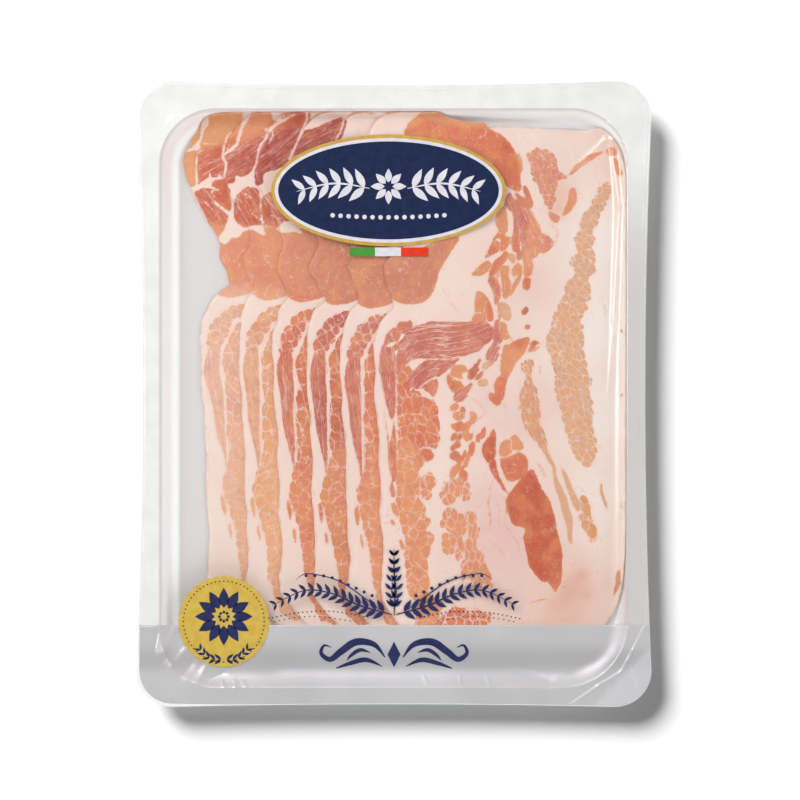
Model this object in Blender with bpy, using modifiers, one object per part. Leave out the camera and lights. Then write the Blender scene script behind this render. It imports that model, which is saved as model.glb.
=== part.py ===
"""Retail pack of sliced cured pork cheek: a white thermoformed tray with six shingled slices,
closed by a clear film with a silver band, an oval label, a three-colour strip and a round seal.

Metres, +Z up. The pack lies on its tray with the film on top. Its origin is on the tray's
underside, at the middle of the outline, and +Y points to the end with the oval label.
"""

import math

import bmesh
import bpy
from mathutils import Vector

MM = 0.001

# tray
PACK_WIDTH = 200 * MM
PACK_LENGTH = 243 * MM
OUTLINE_RADIUS = 14 * MM
SIDE_WAIST = 2.4 * MM
TOP_WAIST = 1.6 * MM
BOTTOM_WAIST = 1.0 * MM
MOUTH_WIDTH = 181 * MM
MOUTH_LENGTH = 224 * MM
MOUTH_CENTRE_Y = -1.75 * MM
MOUTH_RADIUS = 21.5 * MM
FLANGE_TOP = 12 * MM
TRAY_THICKNESS = 0.8 * MM
WALL_RUN = 3.4 * MM
WALL_FOOT = 2.6 * MM
FLOOR_INSET = 5.4 * MM

# film
GAP = 0.3 * MM
FILM_THICKNESS = 0.3 * MM
FILM_DIPS = (
    (-0.6 * MM, 0),
    (0.4 * MM, 0),
    (2.5 * MM, 0.9 * MM),
    (4.5 * MM, 2.0 * MM),
    (6.5 * MM, 3.3 * MM),
)
BAND_TOP_Y = -89.8 * MM
PEEL_DIRECTION = Vector((0.72, -0.69, 0))
PEEL_START = 136 * MM
PEEL_SLOPE = 0.04

# slices, with the pile's steps: each slice lies one step right of and one pitch above the last
SLICE_COUNT = 6
SLICE_THICKNESS = 1 * MM
SLICE_PITCH = SLICE_THICKNESS + GAP
SLICE_STEP = 13.2 * MM
SLICE_DROP = 1.1 * MM
FIRST_SLICE_X = -75.5 * MM
FIRST_STEP_EXTRA = 1.9 * MM
SLICE_WIDTH = 97 * MM
SLICE_LOWEST_Y = -107.4 * MM
SLICE_INSET = 3.8 * MM
LAP_START = 6 * MM
LAP_SLOPE = 0.8
CORNER_LAP_START = 8 * MM
CORNER_LAP_SLOPE = 0.6
WAIST_Y = 51 * MM
WAIST_REACH = 13 * MM
WAIST_SHIFTS = (6.3, -1.5, -1.5, -1.1, 1.6, 2.8)
BULGE_Y = 88 * MM
BULGE_REACH = 15 * MM
BULGE_SHIFTS = (0.2, 1.4, 1.2, 1.4, 1.6, 2.4)

# one slice's outline in millimetres, from its left edge, anticlockwise from the lower left end
SLICE_OUTLINE = (
    (11.6, -105.7), (38.8, -106.4), (69.8, -104.1), (83.4, -97.5), (91.6, -84.7), (95.4, -70.3),
    (97.0, -52.9), (97.0, -21.8), (97.4, 36.4), (97.0, 83.7), (93.5, 96.5), (87.7, 103.1),
    (66.0, 103.5), (43.8, 104.3), (33.0, 107.0), (23.3, 109.3), (11.6, 109.7), (2.3, 108.1),
    (-3.9, 103.1), (-7.4, 92.6), (-6.6, 81.0), (-3.1, 69.3), (1.6, 60.4), (3.9, 55.8),
    (4.3, 46.1), (6.2, 39.5), (3.5, 34.8), (1.2, 27.8), (0.0, 17.0), (0.4, -2.4),
    (1.9, -21.8), (2.3, -45.1), (3.5, -64.5), (0.8, -101.4),
)

# labels, on the flat middle of the film
LABEL_THICKNESS = 0.2 * MM
OVAL_CENTRE = (-2 * MM, 79 * MM)
OVAL_SEMI_AXES = (45.6 * MM, 21.7 * MM)
STRIP_CENTRE = (-2 * MM, 55.2 * MM)
STRIP_SIZE = (30.5 * MM, 3.4 * MM)
SEAL_CENTRE = (-66 * MM, -88.6 * MM)
SEAL_RADIUS = 17.9 * MM
SEAL_SCALLOPS = 36
SEAL_SCALLOP_DEPTH = 0.7 * MM

CORNER_STEPS = 8
SIDE_STEPS = 4


def make_material(name, colour, roughness, metallic=0.0, alpha=1.0):
    material = bpy.data.materials.new(name)
    material.use_nodes = True
    shader = material.node_tree.nodes["Principled BSDF"]
    shader.inputs["Base Color"].default_value = (*colour, 1)
    shader.inputs["Roughness"].default_value = roughness
    shader.inputs["Metallic"].default_value = metallic
    shader.inputs["Alpha"].default_value = alpha
    return material


def add_object(name, mesh, collection, materials):
    for material in materials:
        mesh.materials.append(material)
    obj = bpy.data.objects.new(name, mesh)
    collection.objects.link(obj)
    return obj


def rounded_loop(width, length, centre_y, radius, height, waists=(0, 0, 0)):
    """Points of a rounded rectangle, anticlockwise, with its sides, top and bottom drawn in."""
    side_waist, top_waist, bottom_waist = waists
    half_x = width / 2
    half_y = length / 2
    points = []
    for quarter in range(4):
        corner_x = (half_x - radius) * (1, -1, -1, 1)[quarter]
        corner_y = (half_y - radius) * (1, 1, -1, -1)[quarter]
        for step in range(CORNER_STEPS + 1):
            angle = math.pi / 2 * (quarter + step / CORNER_STEPS)
            x = corner_x + radius * math.cos(angle)
            y = corner_y + radius * math.sin(angle)
            points.append((x, y))
        next_x = (half_x - radius) * (-1, -1, 1, 1)[quarter]
        next_y = (half_y - radius) * (1, -1, -1, 1)[quarter]
        angle = math.pi / 2 * (quarter + 1)
        end = (corner_x + radius * math.cos(angle), corner_y + radius * math.sin(angle))
        start = (next_x + radius * math.cos(angle), next_y + radius * math.sin(angle))
        waist = (top_waist, side_waist, bottom_waist, side_waist)[quarter]
        for step in range(1, SIDE_STEPS):
            share = step / SIDE_STEPS
            drawn_in = waist * (1 - (2 * share - 1) ** 2)
            x = end[0] + (start[0] - end[0]) * share - drawn_in * math.cos(angle)
            y = end[1] + (start[1] - end[1]) * share - drawn_in * math.sin(angle)
            points.append((x, y))
    return [Vector((x, y + centre_y, height)) for x, y in points]


def pack_outline(height):
    waists = (SIDE_WAIST, TOP_WAIST, BOTTOM_WAIST)
    return rounded_loop(PACK_WIDTH, PACK_LENGTH, 0, OUTLINE_RADIUS, height, waists)


def mouth_loop(inset, height):
    width = MOUTH_WIDTH - 2 * inset
    length = MOUTH_LENGTH - 2 * inset
    return rounded_loop(width, length, MOUTH_CENTRE_Y, MOUTH_RADIUS - inset, height)


def loft_sheet(loops):
    """An open sheet through the loops, from the outer one to the last, which is filled."""
    bm = bmesh.new()
    rows = [[bm.verts.new(point) for point in loop] for loop in loops]
    for outer, inner in zip(rows, rows[1:]):
        count = len(outer)
        for i in range(count):
            j = (i + 1) % count
            bm.faces.new((outer[i], outer[j], inner[j], inner[i]))
    bm.faces.new(rows[-1])
    return bm


def bisect(bm, point, normal):
    geometry = bm.verts[:] + bm.edges[:] + bm.faces[:]
    bmesh.ops.bisect_plane(bm, geom=geometry, dist=1e-7, plane_co=point, plane_no=normal)


def finish_sheet(bm, name, collection, materials, thickness, offset):
    """Both faces of the sheet are split into triangles alike, so it is triangulated first."""
    bmesh.ops.triangulate(bm, faces=bm.faces[:])
    mesh = bpy.data.meshes.new(name)
    bm.to_mesh(mesh)
    bm.free()
    obj = add_object(name, mesh, collection, materials)
    solidify = obj.modifiers.new("thickness", "SOLIDIFY")
    solidify.thickness = thickness
    solidify.offset = offset
    solidify.use_even_offset = True
    return obj


def make_tray(collection, material):
    floor_top = TRAY_THICKNESS
    loops = [
        pack_outline(FLANGE_TOP),
        mouth_loop(0, FLANGE_TOP),
        mouth_loop(WALL_RUN, WALL_FOOT),
        mouth_loop(FLOOR_INSET, floor_top),
    ]
    return finish_sheet(loft_sheet(loops), "tray", collection, [material], TRAY_THICKNESS, -1)


def make_film(collection, clear, silver):
    """The film rests on the flange and dips onto the slices; one corner is left free to peel."""
    underside = FLANGE_TOP + GAP
    loops = [pack_outline(underside)]
    loops += [mouth_loop(inset, underside - dip) for inset, dip in FILM_DIPS]
    bm = loft_sheet(loops)
    bisect(bm, Vector((0, BAND_TOP_Y, 0)), Vector((0, 1, 0)))
    direction = PEEL_DIRECTION.normalized()
    bisect(bm, direction * PEEL_START, direction)
    for vertex in bm.verts:
        beyond = vertex.co.xy.to_3d().dot(direction) - PEEL_START
        vertex.co.z += max(0, beyond) * PEEL_SLOPE
    for face in bm.faces:
        face.material_index = int(face.calc_center_median().y < BAND_TOP_Y)
    return finish_sheet(bm, "lid_film", collection, [clear, silver], FILM_THICKNESS, 1)


def mouth_depth(point):
    """How far inside the mouth's edge a point is, and the direction towards the inside."""
    corner_x = MOUTH_WIDTH / 2 - MOUTH_RADIUS
    corner_y = MOUTH_LENGTH / 2 - MOUTH_RADIUS
    x = point[0]
    y = point[1] - MOUTH_CENTRE_Y
    past_x = abs(x) - corner_x
    past_y = abs(y) - corner_y
    if past_x > 0 and past_y > 0:
        reach = math.hypot(past_x, past_y)
        inward = (-past_x / reach * math.copysign(1, x), -past_y / reach * math.copysign(1, y))
        return MOUTH_RADIUS - reach, inward
    if past_x > past_y:
        return MOUTH_RADIUS - past_x, (-math.copysign(1, x), 0)
    return MOUTH_RADIUS - past_y, (0, -math.copysign(1, y))


def bell(distance, reach):
    return math.exp(-(distance / reach) ** 2)


def slice_left(index):
    return FIRST_SLICE_X + SLICE_STEP * index + (FIRST_STEP_EXTRA if index else 0)


def smooth_loop(points, steps):
    """A closed Catmull-Rom curve through the points."""
    smooth = []
    count = len(points)
    for i in range(count):
        a, b, c, d = (Vector(points[(i + k - 1) % count]) for k in range(4))
        for step in range(steps):
            t = step / steps
            bend = (2 * a - 5 * b + 4 * c - d) * t * t + (3 * b - a - 3 * c + d) * t ** 3
            smooth.append(b + ((c - a) * t + bend) / 2)
    return smooth


def slice_outline(index):
    """The slice's outline: shifted along the pile, with its own waist and bulge, kept off the walls."""
    top = max(y for _, y in SLICE_OUTLINE) * MM
    outline = []
    for x, y in smooth_loop(SLICE_OUTLINE, 3):
        x, y = x * MM, y * MM
        if x < SLICE_WIDTH / 2:
            x += WAIST_SHIFTS[index] * MM * bell(y - WAIST_Y, WAIST_REACH)
            x += BULGE_SHIFTS[index] * MM * bell(y - BULGE_Y, BULGE_REACH)
        x += slice_left(index)
        y -= SLICE_DROP * index * min(1, (top - y) / (60 * MM))
        y = max(y, SLICE_LOWEST_Y)
        depth, inward = mouth_depth((x, y))
        shortfall = max(0, SLICE_INSET - depth)
        outline.append((x + inward[0] * shortfall, y + inward[1] * shortfall))
    return outline


def lap_planes():
    """Where a slice starts to climb the tray's wall: a point, the way up and the slope."""
    corner_x = MOUTH_WIDTH / 2 - MOUTH_RADIUS
    corner_y = MOUTH_LENGTH / 2 - MOUTH_RADIUS + MOUTH_CENTRE_Y
    reach = MOUTH_RADIUS - LAP_START
    planes = [
        (Vector((0, corner_y + reach, 0)), Vector((0, 1, 0)), LAP_SLOPE),
        (Vector((corner_x + reach, 0, 0)), Vector((1, 0, 0)), LAP_SLOPE),
    ]
    for side in (-1, 1):
        diagonal = Vector((side, 1, 0)).normalized()
        start = diagonal * (MOUTH_RADIUS - CORNER_LAP_START)
        corner = Vector((side * corner_x, corner_y, 0))
        planes.append((corner + start, diagonal, CORNER_LAP_SLOPE))
    return planes


def slice_height(index, place):
    """Underside of a slice: it ramps up over the ends of those below it, and up the tray's wall."""
    right_end = slice_left(index) + SLICE_WIDTH
    layers = min(index, max(0, (right_end - place.x) / SLICE_STEP))
    laps = [(place - point).dot(upward) * slope for point, upward, slope in lap_planes()]
    return TRAY_THICKNESS + GAP + SLICE_PITCH * layers + max(0, *laps)


def make_slice(index, collection, material):
    bm = bmesh.new()
    bm.faces.new([bm.verts.new((x, y, 0)) for x, y in slice_outline(index)])
    ramp_start = slice_left(index) + SLICE_WIDTH - SLICE_STEP * index
    bisect(bm, Vector((ramp_start, 0, 0)), Vector((1, 0, 0)))
    for point, upward, _ in lap_planes():
        bisect(bm, point, upward)
    for vertex in bm.verts:
        vertex.co.z = slice_height(index, vertex.co.copy())
    bmesh.ops.triangulate(bm, faces=bm.faces[:])
    raised = bmesh.ops.extrude_face_region(bm, geom=bm.faces[:])["geom"]
    for element in raised:
        if isinstance(element, bmesh.types.BMVert):
            element.co.z += SLICE_THICKNESS
    bmesh.ops.recalc_face_normals(bm, faces=bm.faces[:])
    name = f"slice_{index + 1}"
    mesh = bpy.data.meshes.new(name)
    bm.to_mesh(mesh)
    bm.free()
    return add_object(name, mesh, collection, [material])


def make_plate(name, outline, collection, material):
    """A thin label: a flat closed outline, one gap above the film's flat middle."""
    curve = bpy.data.curves.new(name, "CURVE")
    curve.dimensions = "2D"
    curve.fill_mode = "BOTH"
    curve.extrude = LABEL_THICKNESS / 2
    spline = curve.splines.new("POLY")
    spline.points.add(len(outline) - 1)
    for point, (x, y) in zip(spline.points, outline):
        point.co = (x, y, 0, 1)
    spline.use_cyclic_u = True
    plate = add_object(name, curve, collection, [material])
    film_top = FLANGE_TOP + GAP - FILM_DIPS[-1][1] + FILM_THICKNESS
    plate.location.z = film_top + GAP + LABEL_THICKNESS / 2
    return plate


def ring_points(centre, count, radii):
    """Points round a centre; radii gives the two radii at each angle."""
    points = []
    for i in range(count):
        angle = 2 * math.pi * i / count
        radius_x, radius_y = radii(angle)
        x = centre[0] + radius_x * math.cos(angle)
        y = centre[1] + radius_y * math.sin(angle)
        points.append((x, y))
    return points


def scallop_radii(angle):
    dent = SEAL_SCALLOP_DEPTH * (1 - abs(math.cos(angle * SEAL_SCALLOPS / 2)))
    return SEAL_RADIUS - dent, SEAL_RADIUS - dent


def rectangle_points(centre, size):
    corners = ((-1, -1), (1, -1), (1, 1), (-1, 1))
    return [(centre[0] + size[0] / 2 * i, centre[1] + size[1] / 2 * j) for i, j in corners]


def main():
    for obj in list(bpy.data.objects):
        bpy.data.objects.remove(obj)
    pack = bpy.data.collections.new("cured_cheek_pack")
    bpy.context.scene.collection.children.link(pack)

    tray_white = make_material("tray_white", (0.9, 0.9, 0.89), 0.35)
    film_clear = make_material("film_clear", (0.95, 0.95, 0.95), 0.1, alpha=0.3)
    film_silver = make_material("film_silver", (0.5, 0.49, 0.5), 0.35, metallic=0.6)
    cured_meat = make_material("cured_meat", (0.62, 0.27, 0.19), 0.45)
    navy_print = make_material("navy_print", (0.014, 0.023, 0.08), 0.4)
    strip_white = make_material("strip_white", (0.85, 0.85, 0.85), 0.4)
    gold_print = make_material("gold_print", (0.68, 0.46, 0.08), 0.4)

    make_tray(pack, tray_white)
    make_film(pack, film_clear, film_silver)
    for index in range(SLICE_COUNT):
        make_slice(index, pack, cured_meat)
    oval = ring_points(OVAL_CENTRE, 64, lambda angle: OVAL_SEMI_AXES)
    make_plate("oval_label", oval, pack, navy_print)
    make_plate("colour_strip", rectangle_points(STRIP_CENTRE, STRIP_SIZE), pack, strip_white)
    seal = ring_points(SEAL_CENTRE, SEAL_SCALLOPS * 4, scallop_radii)
    make_plate("seal_label", seal, pack, gold_print)


main()
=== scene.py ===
import math

import bpy
import numpy as np
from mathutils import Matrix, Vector


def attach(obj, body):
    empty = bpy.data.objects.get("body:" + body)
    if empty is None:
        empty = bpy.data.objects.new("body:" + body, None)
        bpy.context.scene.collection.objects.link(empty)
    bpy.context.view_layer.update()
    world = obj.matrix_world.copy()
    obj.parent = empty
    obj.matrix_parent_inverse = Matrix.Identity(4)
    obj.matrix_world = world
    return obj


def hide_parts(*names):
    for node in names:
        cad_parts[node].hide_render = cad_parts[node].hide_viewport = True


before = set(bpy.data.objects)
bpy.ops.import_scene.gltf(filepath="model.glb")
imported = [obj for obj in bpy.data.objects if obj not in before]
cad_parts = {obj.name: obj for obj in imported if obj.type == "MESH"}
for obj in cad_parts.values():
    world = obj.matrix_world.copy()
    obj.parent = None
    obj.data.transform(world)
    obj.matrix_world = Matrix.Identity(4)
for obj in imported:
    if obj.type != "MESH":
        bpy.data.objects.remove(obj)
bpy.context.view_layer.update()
mm = 0.001

# outlines are drawn flat on the pack in drawing units, x to the right and y down
drawing = {"unit": 0.388 * mm, "middle": 393.7}


def onPack(x, y):
    return (x - drawing["middle"]) * drawing["unit"], (drawing["middle"] - y) * drawing["unit"]


def linear(red, green, blue):
    # a screen colour from 0 to 255 as the linear values that materials take
    channels = [value / 255 for value in (red, green, blue)]
    return [c / 12.92 if c < 0.04045 else ((c + 0.055) / 1.055) ** 2.4 for c in channels]


class Wire:
    # one output in a material; arithmetic on it adds Math nodes

    def __init__(self, finish, socket):
        self.finish = finish
        self.socket = socket

    def __add__(self, other):
        return self.finish.math("ADD", self, other)

    def __radd__(self, other):
        return self.finish.math("ADD", other, self)

    def __sub__(self, other):
        return self.finish.math("SUBTRACT", self, other)

    def __rsub__(self, other):
        return self.finish.math("SUBTRACT", other, self)

    def __mul__(self, other):
        return self.finish.math("MULTIPLY", self, other)

    def __rmul__(self, other):
        return self.finish.math("MULTIPLY", other, self)

    def most(self, other):
        return self.finish.math("MAXIMUM", self, other)

    def between(self, low, high):
        # 0 below low, 1 above high, smooth between them
        values = {"Value": self, "From Min": low, "From Max": high}
        return self.finish.add("ShaderNodeMapRange", {"interpolation_type": "SMOOTHSTEP"}, values)


class Finish:
    # a material, with one method that adds any node

    def __init__(self, name, **values):
        self.material = bpy.data.materials.new(name)
        self.material.use_nodes = True
        self.tree = self.material.node_tree
        self.shader = self.tree.nodes["Principled BSDF"]
        self.output = self.tree.nodes["Material Output"]
        for socket, value in values.items():
            self.set(socket.replace("_", " "), value)

    def set(self, socket, value):
        self.join(value, self.shader.inputs[socket])

    def join(self, value, socket):
        if isinstance(value, Wire):
            self.tree.links.new(value.socket, socket)
        elif hasattr(value, "__len__") and len(value) == 3 and len(socket.default_value) == 4:
            socket.default_value = (*value, 1)
        else:
            socket.default_value = value

    def add(self, kind, settings=None, values=None, output=0):
        node = self.tree.nodes.new(kind)
        for name, value in (settings or {}).items():
            if name == "stops":
                ramp = node.color_ramp
                for position, colour in value:
                    stop = ramp.elements.new(position)
                    stop.color = (*colour, 1)
                ramp.elements.remove(ramp.elements[0])
                ramp.elements.remove(ramp.elements[-1])
            else:
                setattr(node, name, value)
        for name, value in (values or {}).items():
            self.join(value, node.inputs[name])
        return Wire(self, node.outputs[output])

    def math(self, operation, first, second=0.0):
        return self.add("ShaderNodeMath", {"operation": operation}, {0: first, 1: second})

    def place(self):
        # object coordinates in millimetres
        spot = self.add("ShaderNodeTexCoord", output="Object")
        return self.scaled(spot, (1000, 1000, 1000))

    def scaled(self, vector, factors):
        return self.add("ShaderNodeVectorMath", {"operation": "MULTIPLY"}, {0: vector, 1: factors})

    def attribute(self, name, output="Fac"):
        return self.add("ShaderNodeAttribute", {"attribute_name": name}, output=output)

    def noise(self, vector, size, detail=2.0, roughness=0.5):
        values = {"Vector": vector, "Scale": 1 / size, "Detail": detail, "Roughness": roughness}
        return self.add("ShaderNodeTexNoise", None, values)

    def blend(self, share, first, second, mode="MIX"):
        settings = {"data_type": "RGBA", "blend_type": mode}
        node = self.add("ShaderNodeMix", settings).socket.node
        self.join(share, node.inputs[0])
        self.join(first, node.inputs[6])
        self.join(second, node.inputs[7])
        return Wire(self, node.outputs[2])

    def bump(self, height, distance, strength=1.0):
        values = {"Height": height, "Distance": distance, "Strength": strength}
        self.set("Normal", self.add("ShaderNodeBump", None, values))


def smoothLoop(points, steps):
    # a closed Catmull-Rom curve through the points
    p = np.array(points, float)
    before, after, further = np.roll(p, 1, 0), np.roll(p, -1, 0), np.roll(p, -2, 0)
    rows = []
    for step in range(steps):
        t = step / steps
        square = (2 * before - 5 * p + 4 * after - further) * t * t
        cube = (3 * p - before - 3 * after + further) * t ** 3
        rows.append(p + ((after - before) * t + square + cube) / 2)
    return np.stack(rows, 1).reshape(-1, 2)


def outlineDistance(x, y, outline):
    # distance to a closed outline, positive inside, and its gradient
    best = np.full(x.shape, 1e9)
    nearX, nearY = np.zeros_like(x), np.zeros_like(x)
    inside = np.zeros(x.shape, bool)
    following = np.roll(outline, -1, 0)
    for (ax, ay), (bx, by) in zip(outline, following):
        ex, ey = bx - ax, by - ay
        share = np.clip(((x - ax) * ex + (y - ay) * ey) / (ex * ex + ey * ey + 1e-18), 0, 1)
        dx, dy = x - ax - ex * share, y - ay - ey * share
        square = dx * dx + dy * dy
        closer = square < best
        best = np.where(closer, square, best)
        nearX, nearY = np.where(closer, dx, nearX), np.where(closer, dy, nearY)
        if ay != by:
            crosses = ((ay > y) != (by > y)) & (x < ex * (y - ay) / ey + ax)
            inside ^= crosses
    distance = np.sqrt(best) + 1e-12
    sign = np.where(inside, 1.0, -1.0)
    return sign * distance, sign * nearX / distance, sign * nearY / distance


def smoothPath(points, steps):
    # an open curve through the points
    p = np.array([points[0], *points, points[-1]], float)
    rows = []
    for before, start, end, after in zip(p, p[1:], p[2:], p[3:]):
        for step in range(steps):
            t = step / steps
            square = (2 * before - 5 * start + 4 * end - after) * t * t
            cube = (3 * start - before - 3 * end + after) * t ** 3
            rows.append(start + ((end - before) * t + square + cube) / 2)
    return np.array(rows + [p[-1]])


def bell(distance, reach):
    return np.exp(-(distance / reach) ** 2)


def waves(x, y, size, seed):
    # smooth unevenness from a few crossed sines, about -1 to 1
    rng = np.random.default_rng(seed)
    total = 0
    for _ in range(7):
        angle, phase = rng.uniform(0, 2 * math.pi, 2)
        length = size * rng.uniform(0.6, 1.7)
        total = total + np.sin((x * math.cos(angle) + y * math.sin(angle)) * 2 * math.pi / length + phase)
    return total / 4


def solidSheet(name, xs, ys, distance, top, bottom):
    # a closed thin solid over a grid, trimmed to the region where distance(x, y) is positive
    gridX, gridY = np.meshgrid(xs, ys)
    middleX = (gridX[1:, 1:] + gridX[:-1, :-1]) / 2
    middleY = (gridY[1:, 1:] + gridY[:-1, :-1]) / 2
    kept = distance(middleX, middleY)[0] > 0
    uses = np.zeros(gridX.shape, int)
    for i in (0, 1):
        for j in (0, 1):
            uses[i:uses.shape[0] - 1 + i, j:uses.shape[1] - 1 + j] += kept
    edge = (uses > 0) & (uses < 4)
    depth, slopeX, slopeY = distance(gridX[edge], gridY[edge])
    gridX[edge] -= depth * slopeX
    gridY[edge] -= depth * slopeY
    number = np.full(gridX.shape, -1)
    used = uses > 0
    count = int(used.sum())
    number[used] = np.arange(count)
    x, y = gridX[used], gridY[used]
    a, b = number[:-1, :-1], number[:-1, 1:]
    c, d = number[1:, 1:], number[1:, :-1]
    faces = np.stack((a[kept], b[kept], c[kept], d[kept]), 1)
    padded = np.pad(kept, 1)
    sides = [
        (a, b, padded[:-2, 1:-1]), (b, c, padded[1:-1, 2:]),
        (c, d, padded[2:, 1:-1]), (d, a, padded[1:-1, :-2]),
    ]
    walls = []
    for start, end, neighbour in sides:
        bare = kept & ~neighbour
        s, e = start[bare], end[bare]
        walls.append(np.stack((s + count, e + count, e, s), 1))
    quads = np.concatenate([faces, faces[:, ::-1] + count] + walls)
    low = np.stack((x, y, bottom(x, y)), 1)
    high = np.stack((x, y, top(x, y)), 1)
    return meshObject(name, np.concatenate((high, low)), quads), x, y


def meshObject(name, points, faces):
    mesh = bpy.data.meshes.new(name)
    if isinstance(faces, np.ndarray):
        faces = [tuple(face) for face in faces.tolist()]
    mesh.from_pydata(np.asarray(points).tolist(), [], faces)
    mesh.polygons.foreach_set("use_smooth", [True] * len(mesh.polygons))
    mesh.update()
    piece = bpy.data.objects.new(name, mesh)
    packPieces.objects.link(piece)
    return piece


def addAttribute(piece, name, kind, values):
    # values are for the top vertices; the underside repeats them
    layer = piece.data.attributes.new(name, kind, "POINT")
    field = {"FLOAT": "value", "FLOAT_VECTOR": "vector", "FLOAT_COLOR": "color"}[kind]
    both = np.concatenate((values, values)).astype(np.float32)
    layer.data.foreach_set(field, both.ravel())


def bakeMap(piece, topCount):
    # the top face fills one half of the map and the underside the other
    mesh = piece.data
    layer = mesh.uv_layers.new(name="OFBake")
    corners = np.zeros(len(mesh.loops), int)
    mesh.loops.foreach_get("vertex_index", corners)
    points = np.zeros(len(mesh.vertices) * 3)
    mesh.vertices.foreach_get("co", points)
    points = points.reshape(-1, 3)
    low = points[:, :2].min(0)
    size = points[:, :2].max(0) - low
    margin, half = 0.01, 0.49
    scale = min((half - margin) / size[0], (1 - 2 * margin) / size[1])
    flat = (points[:, :2] - low) * scale + margin
    flat[topCount:, 0] += half
    layer.data.foreach_set("uv", flat[corners].astype(np.float32).ravel())


def wear(piece, material, slot, *nodes):
    piece.data.materials.clear()
    piece.data.materials.append(material)
    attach(piece, "root")
    if nodes:
        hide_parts(*nodes)


packPieces = bpy.data.collections.new("packPieces")
bpy.context.scene.collection.children.link(packPieces)
clearPieces = bpy.data.collections.new("clearPieces")  # what the glare box lights


pack = {
    "width": 200 * mm, "length": 243 * mm, "cornerRadius": 14 * mm,
    "sideWaist": 2.4 * mm, "topWaist": 1.6 * mm, "bottomWaist": 1.0 * mm,
    "mouthWidth": 181 * mm, "mouthLength": 224 * mm, "mouthY": -1.75 * mm,
    "mouthRadii": (21.5 * mm, 21.5 * mm, 21.5 * mm, 25 * mm),  # from the upper right, anticlockwise
}
tray = {
    "top": 12 * mm, "thickness": 0.8 * mm, "cornerSteps": 20, "sideSteps": 16,
    "rim": ((0.0, -0.25), (0.12, -0.08), (0.35, 0.0)),  # inset and drop, in millimetres
    "bead": 0.22 * mm, "beadInset": 1.6 * mm, "beadWidth": 0.7 * mm,
    # depth inside the mouth and height of the wall, in millimetres
    "wall": (
        (-0.9, 12.0), (-0.35, 11.97), (0.0, 11.8), (0.3, 11.4), (0.7, 10.6), (1.2, 9.3), (1.8, 7.5),
        (2.4, 5.6), (3.0, 3.9), (3.6, 2.6), (4.3, 1.65), (5.2, 1.05), (6.3, 0.82), (7.5, 0.8),
    ),
}


def roundedLoop(width, length, centreY, radii, waists=(0, 0, 0)):
    sideWaist, topWaist, bottomWaist = waists
    points = []
    for quarter in range(4):
        sideX, sideY = (1, -1, -1, 1)[quarter], (1, 1, -1, -1)[quarter]
        nextX, nextY = (-1, -1, 1, 1)[quarter], (1, -1, -1, 1)[quarter]
        radius, nextRadius = radii[quarter], radii[(quarter + 1) % 4]
        cornerX, cornerY = (width / 2 - radius) * sideX, (length / 2 - radius) * sideY
        for step in range(tray["cornerSteps"] + 1):
            angle = math.pi / 2 * (quarter + step / tray["cornerSteps"])
            points.append((cornerX + radius * math.cos(angle), cornerY + radius * math.sin(angle)))
        angle = math.pi / 2 * (quarter + 1)
        endX = (width / 2 - nextRadius) * nextX + nextRadius * math.cos(angle)
        endY = (length / 2 - nextRadius) * nextY + nextRadius * math.sin(angle)
        startX, startY = points[-1]
        waist = (topWaist, sideWaist, bottomWaist, sideWaist)[quarter]
        for step in range(1, tray["sideSteps"]):
            share = step / tray["sideSteps"]
            drawnIn = waist * (1 - (2 * share - 1) ** 2)
            x = startX + (endX - startX) * share - drawnIn * math.cos(angle)
            y = startY + (endY - startY) * share - drawnIn * math.sin(angle)
            points.append((x, y))
    return np.array(points) + (0, centreY)


def packLoop(inset):
    radii = [pack["cornerRadius"] - inset] * 4
    waists = (pack["sideWaist"], pack["topWaist"], pack["bottomWaist"])
    return roundedLoop(pack["width"] - 2 * inset, pack["length"] - 2 * inset, 0, radii, waists)


def mouthLoop(inset):
    radii = [radius - inset for radius in pack["mouthRadii"]]
    width, length = pack["mouthWidth"] - 2 * inset, pack["mouthLength"] - 2 * inset
    return roundedLoop(width, length, pack["mouthY"], radii)


def mouthDepth(x, y):
    # how far a point is inside the mouth's edge
    y = y - pack["mouthY"]
    upperRight, upperLeft, lowerLeft, lowerRight = pack["mouthRadii"]
    upper, lower = np.where(x > 0, upperRight, upperLeft), np.where(x > 0, lowerRight, lowerLeft)
    radius = np.where(y > 0, upper, lower)
    pastX = np.abs(x) - pack["mouthWidth"] / 2 + radius
    pastY = np.abs(y) - pack["mouthLength"] / 2 + radius
    outside = np.hypot(np.maximum(pastX, 0), np.maximum(pastY, 0))
    return radius - outside - np.minimum(np.maximum(pastX, pastY), 0)


def wallHeight(depth):
    depths, heights = zip(*tray["wall"])
    return np.interp(depth / mm, depths, heights) * mm


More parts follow.
